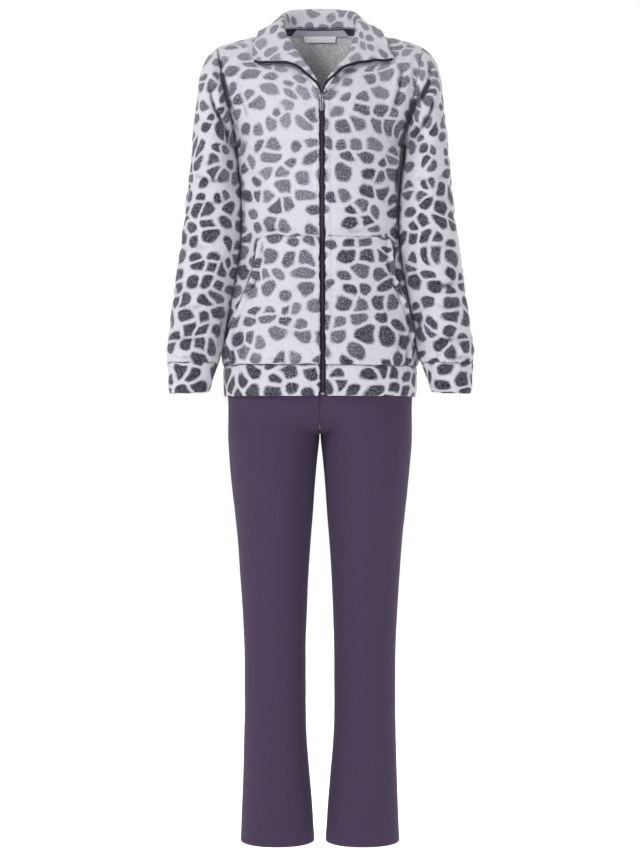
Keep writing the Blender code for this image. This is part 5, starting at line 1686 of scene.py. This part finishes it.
height = np.linspace(-7.0, 6.0, 22)
shut = np.maximum(np.sqrt(np.clip(1 - (np.abs(height + 0.5) / 6.5) ** 8, 0, 1)), 0.3)
width = (3.5 + 1.1 / (1 + np.exp(-(height - 0.5) * 1.1))) * shut
plates = [bar(0.0, y, height, -INTO, half * shut, width, 20, 3.2) for y, half in ((-2.1, 0.75), (3.1, 0.65))]
walls = [bar(side * 3.6, -0.5, np.linspace(-6, 5, 12), -INTO, 1.5, 0.6, 10, 3.0) for side in SIDES.values()]
wedge = bar(0.0, np.linspace(-2.0, 3.0, 6), 4.5, UP, 1.4, 1.2, 12, 2.6)
arch = np.linspace(0, np.pi, 24)
bridge = bar(0.0, -2.6 - 2.9 * np.sin(arch) ** 0.6, 3.0 * np.cos(arch), ACROSS, 0.8, 0.5, 10, 2.6)
tie(joined("slider_metal", [*plates, *walls, wedge, bridge], metal_material), "garment", "zip_metal",
    "zip_slider")
print("the slider leans", round(float(np.degrees(LEAN)), 1), "degrees")

# %% [markdown]
# # Pull tab
# The tab is a flat plate with an eye, on a loop that turns under the bridge. Only the tab moves
# as a hard part, so it rides on its own body.

# %% Pull tab
TAB_HALF, TAB_LENGTH, TAB_DEPTH, LOOP = 3.25, 28.0, 1.3, 5.0
TAB_POINTS, EYE_RADIUS, EYE_Z = 48, 1.1, -8.0


turn = np.linspace(0, 2 * np.pi, 40)
loop = bar(2.55 * squared(np.cos(turn), 0.45), HINGE_DEPTH, -2.9 + 2.9 * squared(np.sin(turn), 0.45), -INTO,
           0.6, 0.65, 10, 2.6)


def tab_with_eye(outline, eye, depth):
    """A plate with a hole: rings go round the outline on the face, over its edge, along the back,
    through the hole and back again, so rows and columns both close."""
    rings = []
    for share, level in ((0.0, 0.5), (0.75, 0.5), (0.95, 0.44), (1.0, 0.2), (1.0, -0.2), (0.95, -0.44),
                         (0.75, -0.5), (0.0, -0.5)):
        flat = eye + (outline - eye) * share
        rings.append(np.stack([flat[:, 0], HINGE_DEPTH - depth * level + 0 * flat[:, 0], flat[:, 1]], axis=1))
    return np.array(rings)


angle = np.linspace(0, 2 * np.pi, TAB_POINTS, endpoint=False)
cos, sin = np.cos(angle), np.sin(angle)
middle_z = -(LOOP + TAB_LENGTH) / 2
outline = np.stack([TAB_HALF * squared(cos, 0.4), middle_z + (TAB_LENGTH - LOOP) / 2 * squared(sin, 0.22)],
                   axis=1)
eye = np.stack([EYE_RADIUS * cos, EYE_Z + EYE_RADIUS * sin], axis=1)
rings = on_slider(tab_with_eye(outline, eye, TAB_DEPTH))
index = grid_index(len(rings), TAB_POINTS, True)
faces = corners(np.vstack([index, index[:1]]))
tab = (rings.reshape(-1, 3), [faces], [np.zeros((faces.size, 2))])
tie(joined("pull_tab_metal", [loop, tab], metal_material), "pull", "zip_metal", "zip_pull")
print("the tab is", 2 * TAB_HALF, "mm wide and", TAB_LENGTH, "mm long")

# %% [markdown]
# # Trousers
# Straight jersey trousers: four leg panels that meet at the side, the inside leg and the centre.
# Legs are rings, the seat joins them into one, and a waistband closes the top under the jacket.
# Jersey hangs almost smooth, so only a few long soft folds run down from the hips and the knees.

# %% Folds and rings of the trousers
LEG_COLUMNS, LEG_PITCH, JERSEY_REACH, SEAM_LEAN, CROTCH_Z = 40, 6.0, 0.4, 1.4, -703.0
HEM_GROOVE, HEM_MIDDLE = 0.5, 22     # depth and height of the hollow that the hem's stitches make
HIP_CREASE = seen("front", ([(-128, -660), (-146, -679), (-164, -698)], 3.6, -2.2))
TROUSER_FOLDS = {
    "front": seen(
        "front",
        ([(60, -720), (74, -900), (78, -1100), (74, -1300)], 26, 2.0),
        ([(34, -760), (40, -900), (44, -1060)], 16, -2.4),
        ([(20, -700), (60, -724), (110, -716)], 14, -1.2),
        ([(110, -1010), (80, -1036), (44, -1040)], 16, -1.2),
        ([(120, -1180), (84, -1290), (70, -1420)], 20, 1.4),
    ),
    "back": seen(
        "back",
        ([(20, -720), (60, -752), (110, -756)], 16, -2.6),
        ([(24, -760), (64, -790), (104, -800)], 15, 2.0),
        ([(80, -800), (84, -960), (80, -1150)], 24, 2.0),
        ([(120, -1010), (84, -1030), (44, -1012)], 17, -2.4),
        ([(118, -1046), (84, -1068), (46, -1052)], 16, 2.0),
        ([(100, -1180), (84, -1290), (80, -1410)], 20, 1.6),
    ),
}


def leg_half(z, outer, inner, depth, side, face):
    """Half a leg ring from the outer seam to the inseam, which drifts back below the seat."""
    angle = np.linspace(0.0, np.pi, ARC_POINTS)
    reach, middle = (outer - inner) / 2, (outer + inner) / 2
    lean = SEAT_Y * np.sin(angle / 2) ** 2 * np.interp(z, (SEAT_START_Z, SEAT_END_Z), (0.0, 1.0))
    cos, sin = np.cos(angle), np.sin(angle)
    x = middle + reach * squared(cos, 2 / LEG_SQUARENESS)
    y = face * depth * sin ** (2 / LEG_SQUARENESS) + lean
    points = np.stack([side * x, y, np.full(ARC_POINTS, float(z))], axis=1)
    return evenly(points, LEG_COLUMNS)


def hip_quarter(row, side, face, count=LEG_COLUMNS):
    """A quarter of a hip ring, from the side seam to the middle."""
    z, half, front, rear = row
    return ring_part(z, half, face * (front if face < 0 else rear), side, 0.0, half, count)[::-1]


print("a leg ring has", LEG_COLUMNS, "points to a half")


# %% Surface of a quarter of the trousers
def trouser_surface(side, face):
    """Leg rings, the rise between them and the hips, and the hip rings, joined by splines."""
    legs = [leg_half(z, outer, inner, front if face < 0 else rear, side, face)
            for z, outer, inner, front, rear in LEG]
    hips = [hip_quarter(row, side, face) for row in HIPS]
    u = np.linspace(0.0, 1.0, LEG_COLUMNS)[:, None]
    rise = []
    for n, (outer, outer_z, front, front_z, rear, rear_z) in enumerate(RISE):
        v = (n + 1) / (len(RISE) + 1)
        row = legs[-1] * (1 - v) + hips[0] * v
        first = np.array([side * outer, 0.0, outer_z])
        last = np.array([0.0, front if face < 0 else rear, front_z if face < 0 else rear_z])
        rise.append(row + (first - row[0]) * (1 - u) ** 3 + (last - row[-1]) * u**3)
    rows = np.array(legs + rise + hips)
    count = 1 + round(float(steps(rows).mean(axis=1).sum()) / LEG_PITCH)
    dense = steady(chord(rows), rows.reshape(len(rows), -1), np.linspace(0, 1, count))
    return soften(dense.reshape(count, LEG_COLUMNS, 3), 6)


def seam_lean(grid, side, face):
    """How far the edge's inner corner lies out at the two seams: the front and the back overlap,
    and above the crotch it is the two legs that do."""
    inner, outer = (-1, 0) if side * face > 0 else (0, -1)
    lean = np.zeros(grid.shape[:2])
    lean[:, outer] = -face * SEAM_LEAN
    lean[:, inner] = SEAM_LEAN * np.interp(grid[:, inner, 2], (CROTCH_Z - 20, CROTCH_Z + 20), (-face, side))
    return lean


print("a quarter has", len(trouser_surface(1, -1)), "rows")

# %% The four panels
trousers = {}
for side_name, side in SIDES.items():
    for part, face in (("front", -1), ("back", 1)):
        grid = trouser_surface(side, face)[:, ::side * face]
        folds = TROUSER_FOLDS[part] if side > 0 else HIP_CREASE + mirrored(TROUSER_FOLDS[part])
        uv = flat_map(grid)
        height = (0.45 * lumps(grid, 60, 41) + 0.15 * lumps(grid, 22, 42) + folded(grid, folds)
                  - seam_dip(grid, ("first", "last"), depth=0.9, width=3.0)
                  - HEM_GROOVE * bell(grid[..., 2] - LEG[0][0] - HEM_MIDDLE, 3))
        shaped = draw_in(grid + normals(grid) * height[..., None], False, JERSEY_REACH + 0.08)
        trousers[part, side_name] = shaped
        piece = wall(f"leg_{part}_{side_name}", shaped, JERSEY, uv, (jersey_material,),
                     reach=JERSEY_REACH, lean=seam_lean(grid, side, face))
        declare(piece, f"trouser_{part}_{side_name}", uv)
print(report_rows[-4:])

# %% [markdown]
# # Waistband
# Elastic gathers the waist into small even ribs: a sine wave laid on a hip ring. The jacket
# hides it, so it is kept plain.

# %% Waistband
BAND_ROWS, BAND_QUARTER, RIBS, RIB_HEIGHT = 9, 24, 46, 0.8
quarters = [hip_quarter(HIPS[-1], side, face, BAND_QUARTER)
            for side, face in ((1, -1), (1, 1), (-1, 1), (-1, -1))]
ring = np.vstack([quarters[0][::-1][:-1], quarters[1][:-1], quarters[2][::-1][:-1], quarters[3][:-1]])
rise = np.linspace(0.3, WAISTBAND_HEIGHT, BAND_ROWS)[:, None, None] * np.array([0.0, 0.0, 1.0])
waistband = ring[None] + rise
turn = np.linspace(0, 2 * np.pi, ring.shape[0], endpoint=False)
waistband = waistband + normals(waistband, True) * (RIB_HEIGHT * np.sin(RIBS * turn))[None, :, None]
uv = flat_map(waistband, True)
declare(wall("waistband_cloth", waistband, JERSEY, uv, (jersey_material,), closed=True),
        "trouser_waistband", uv)
print(report_rows[-1])

# %% [markdown]
# # Rows of stitches
# Two lines of thread hold each trouser hem. Every stitch is one small bead that lies half in the
# cloth.

# %% Hem stitches
HEM_LINES, STITCH_PITCH, STITCH_SIZE = (20.0, 26.0), 3.2, (2.3, 0.9, 0.75)
rows, stitches = [], 0
for grid in trousers.values():
    heights = grid[..., 2].mean(axis=1) - LEG[0][0]
    for line in HEM_LINES:
        level = np.array([np.interp(line, heights, np.arange(len(grid)))])
        path = sample_line(grid.reshape(len(grid), -1), level).reshape(-1, 3)
        count = int(steps(path).sum() / STITCH_PITCH)
        where = np.interp((np.arange(count) + 0.5) / count, chord(path), np.arange(len(path)))
        ahead = unit(sample_line(np.gradient(path, axis=0), where))
        out = unit(np.cross(ahead, [0.0, 0.0, 1.0]))
        rows.append(beads(sample_line(path, where), ahead, out, np.cross(out, ahead), STITCH_SIZE, 3, 6))
        stitches += count
tie(joined("hem_stitches", rows, thread_material), "garment", "plum_jersey")
print(stitches, "stitches in the hems")

# %% [markdown]
# # Floor, light and camera
# A studio picture of clothes has soft light from all round with a little more from the front and
# above. The floor is plain and pale. The camera stands level, at the height of the set's middle.

# %% Stage
FLOOR_SIZE, FLOOR_DROP, FLOOR_GLOW = 14.0, 0.075, 0.62
SKY_LIGHT = 0.54       # the backdrop looks white, and lights the cloth with this much
bpy.ops.mesh.primitive_plane_add(size=FLOOR_SIZE, location=(0, 0, cad_box[0][2] - FLOOR_DROP))
floor = bpy.context.object
floor.name = "floor"
floor_material, tree, sockets = new_material("pale_floor", Roughness=0.9, Specular_IOR_Level=0.1)
place = add(tree, "TexCoord", output=3)
tree.links.new(blend_colours(tree, noise(tree, place, 3.0), (0.90, 0.90, 0.90), (0.92, 0.92, 0.92)),
               sockets["Base Color"])
sockets["Emission Color"].default_value = (1.0, 1.0, 1.0, 1.0)
sockets["Emission Strength"].default_value = FLOOR_GLOW
floor.data.materials.append(floor_material)

world = bpy.data.worlds.new("studio")
bpy.context.scene.world = world
world.use_nodes = True
tree = world.node_tree
sky = tree.nodes["Background"].inputs
sky["Color"].default_value = (1.0, 1.0, 1.0, 1.0)
tree.links.new(maths(tree, "MULTIPLY_ADD", add(tree, "LightPath"), 1 - SKY_LIGHT, SKY_LIGHT), sky["Strength"])
print("floor", FLOOR_SIZE, "m wide, backdrop lit")


# %% Lamps and camera
def area_light(name, position, target, size, energy):
    """A round soft lamp that faces the target."""
    light = bpy.data.lights.new(name, "AREA")
    light.shape, light.size, light.energy = "DISK", size, energy
    lamp = bpy.data.objects.new(name, light)
    bpy.context.scene.collection.objects.link(lamp)
    away = np.array(target, float) - np.array(position, float)
    lamp.location = position
    yaw, pitch = np.arctan2(away[0], -away[1]), np.arctan2(np.hypot(away[0], away[1]), -away[2])
    lamp.rotation_euler = (pitch, 0.0, yaw + np.pi)


area_light("key", (-2.2, -2.3, 1.7), (0, 0, -0.5), 1.0, 66)
area_light("back", (1.7, 2.9, 1.3), (0, 0, -0.5), 1.6, 46)
area_light("fill", (2.4, -2.8, 0.2), (0, 0, -0.7), 2.2, 14)

CAMERA_LENS, CAMERA_SENSOR = 78.4, 36.0              # millimetres
CAMERA_DISTANCE, CAMERA_HEIGHT = 3.4, -0.689         # metres
camera = bpy.data.cameras.new("camera")
camera.lens, camera.sensor_width = CAMERA_LENS, CAMERA_SENSOR
viewer = bpy.data.objects.new("camera", camera)
bpy.context.scene.collection.objects.link(viewer)
viewer.location = (0.0, -CAMERA_DISTANCE, CAMERA_HEIGHT)
viewer.rotation_euler = (np.pi / 2, 0.0, 0.0)
bpy.context.scene.camera = viewer
bpy.context.scene.view_settings.view_transform = "Standard"
print("camera", tuple(viewer.location))
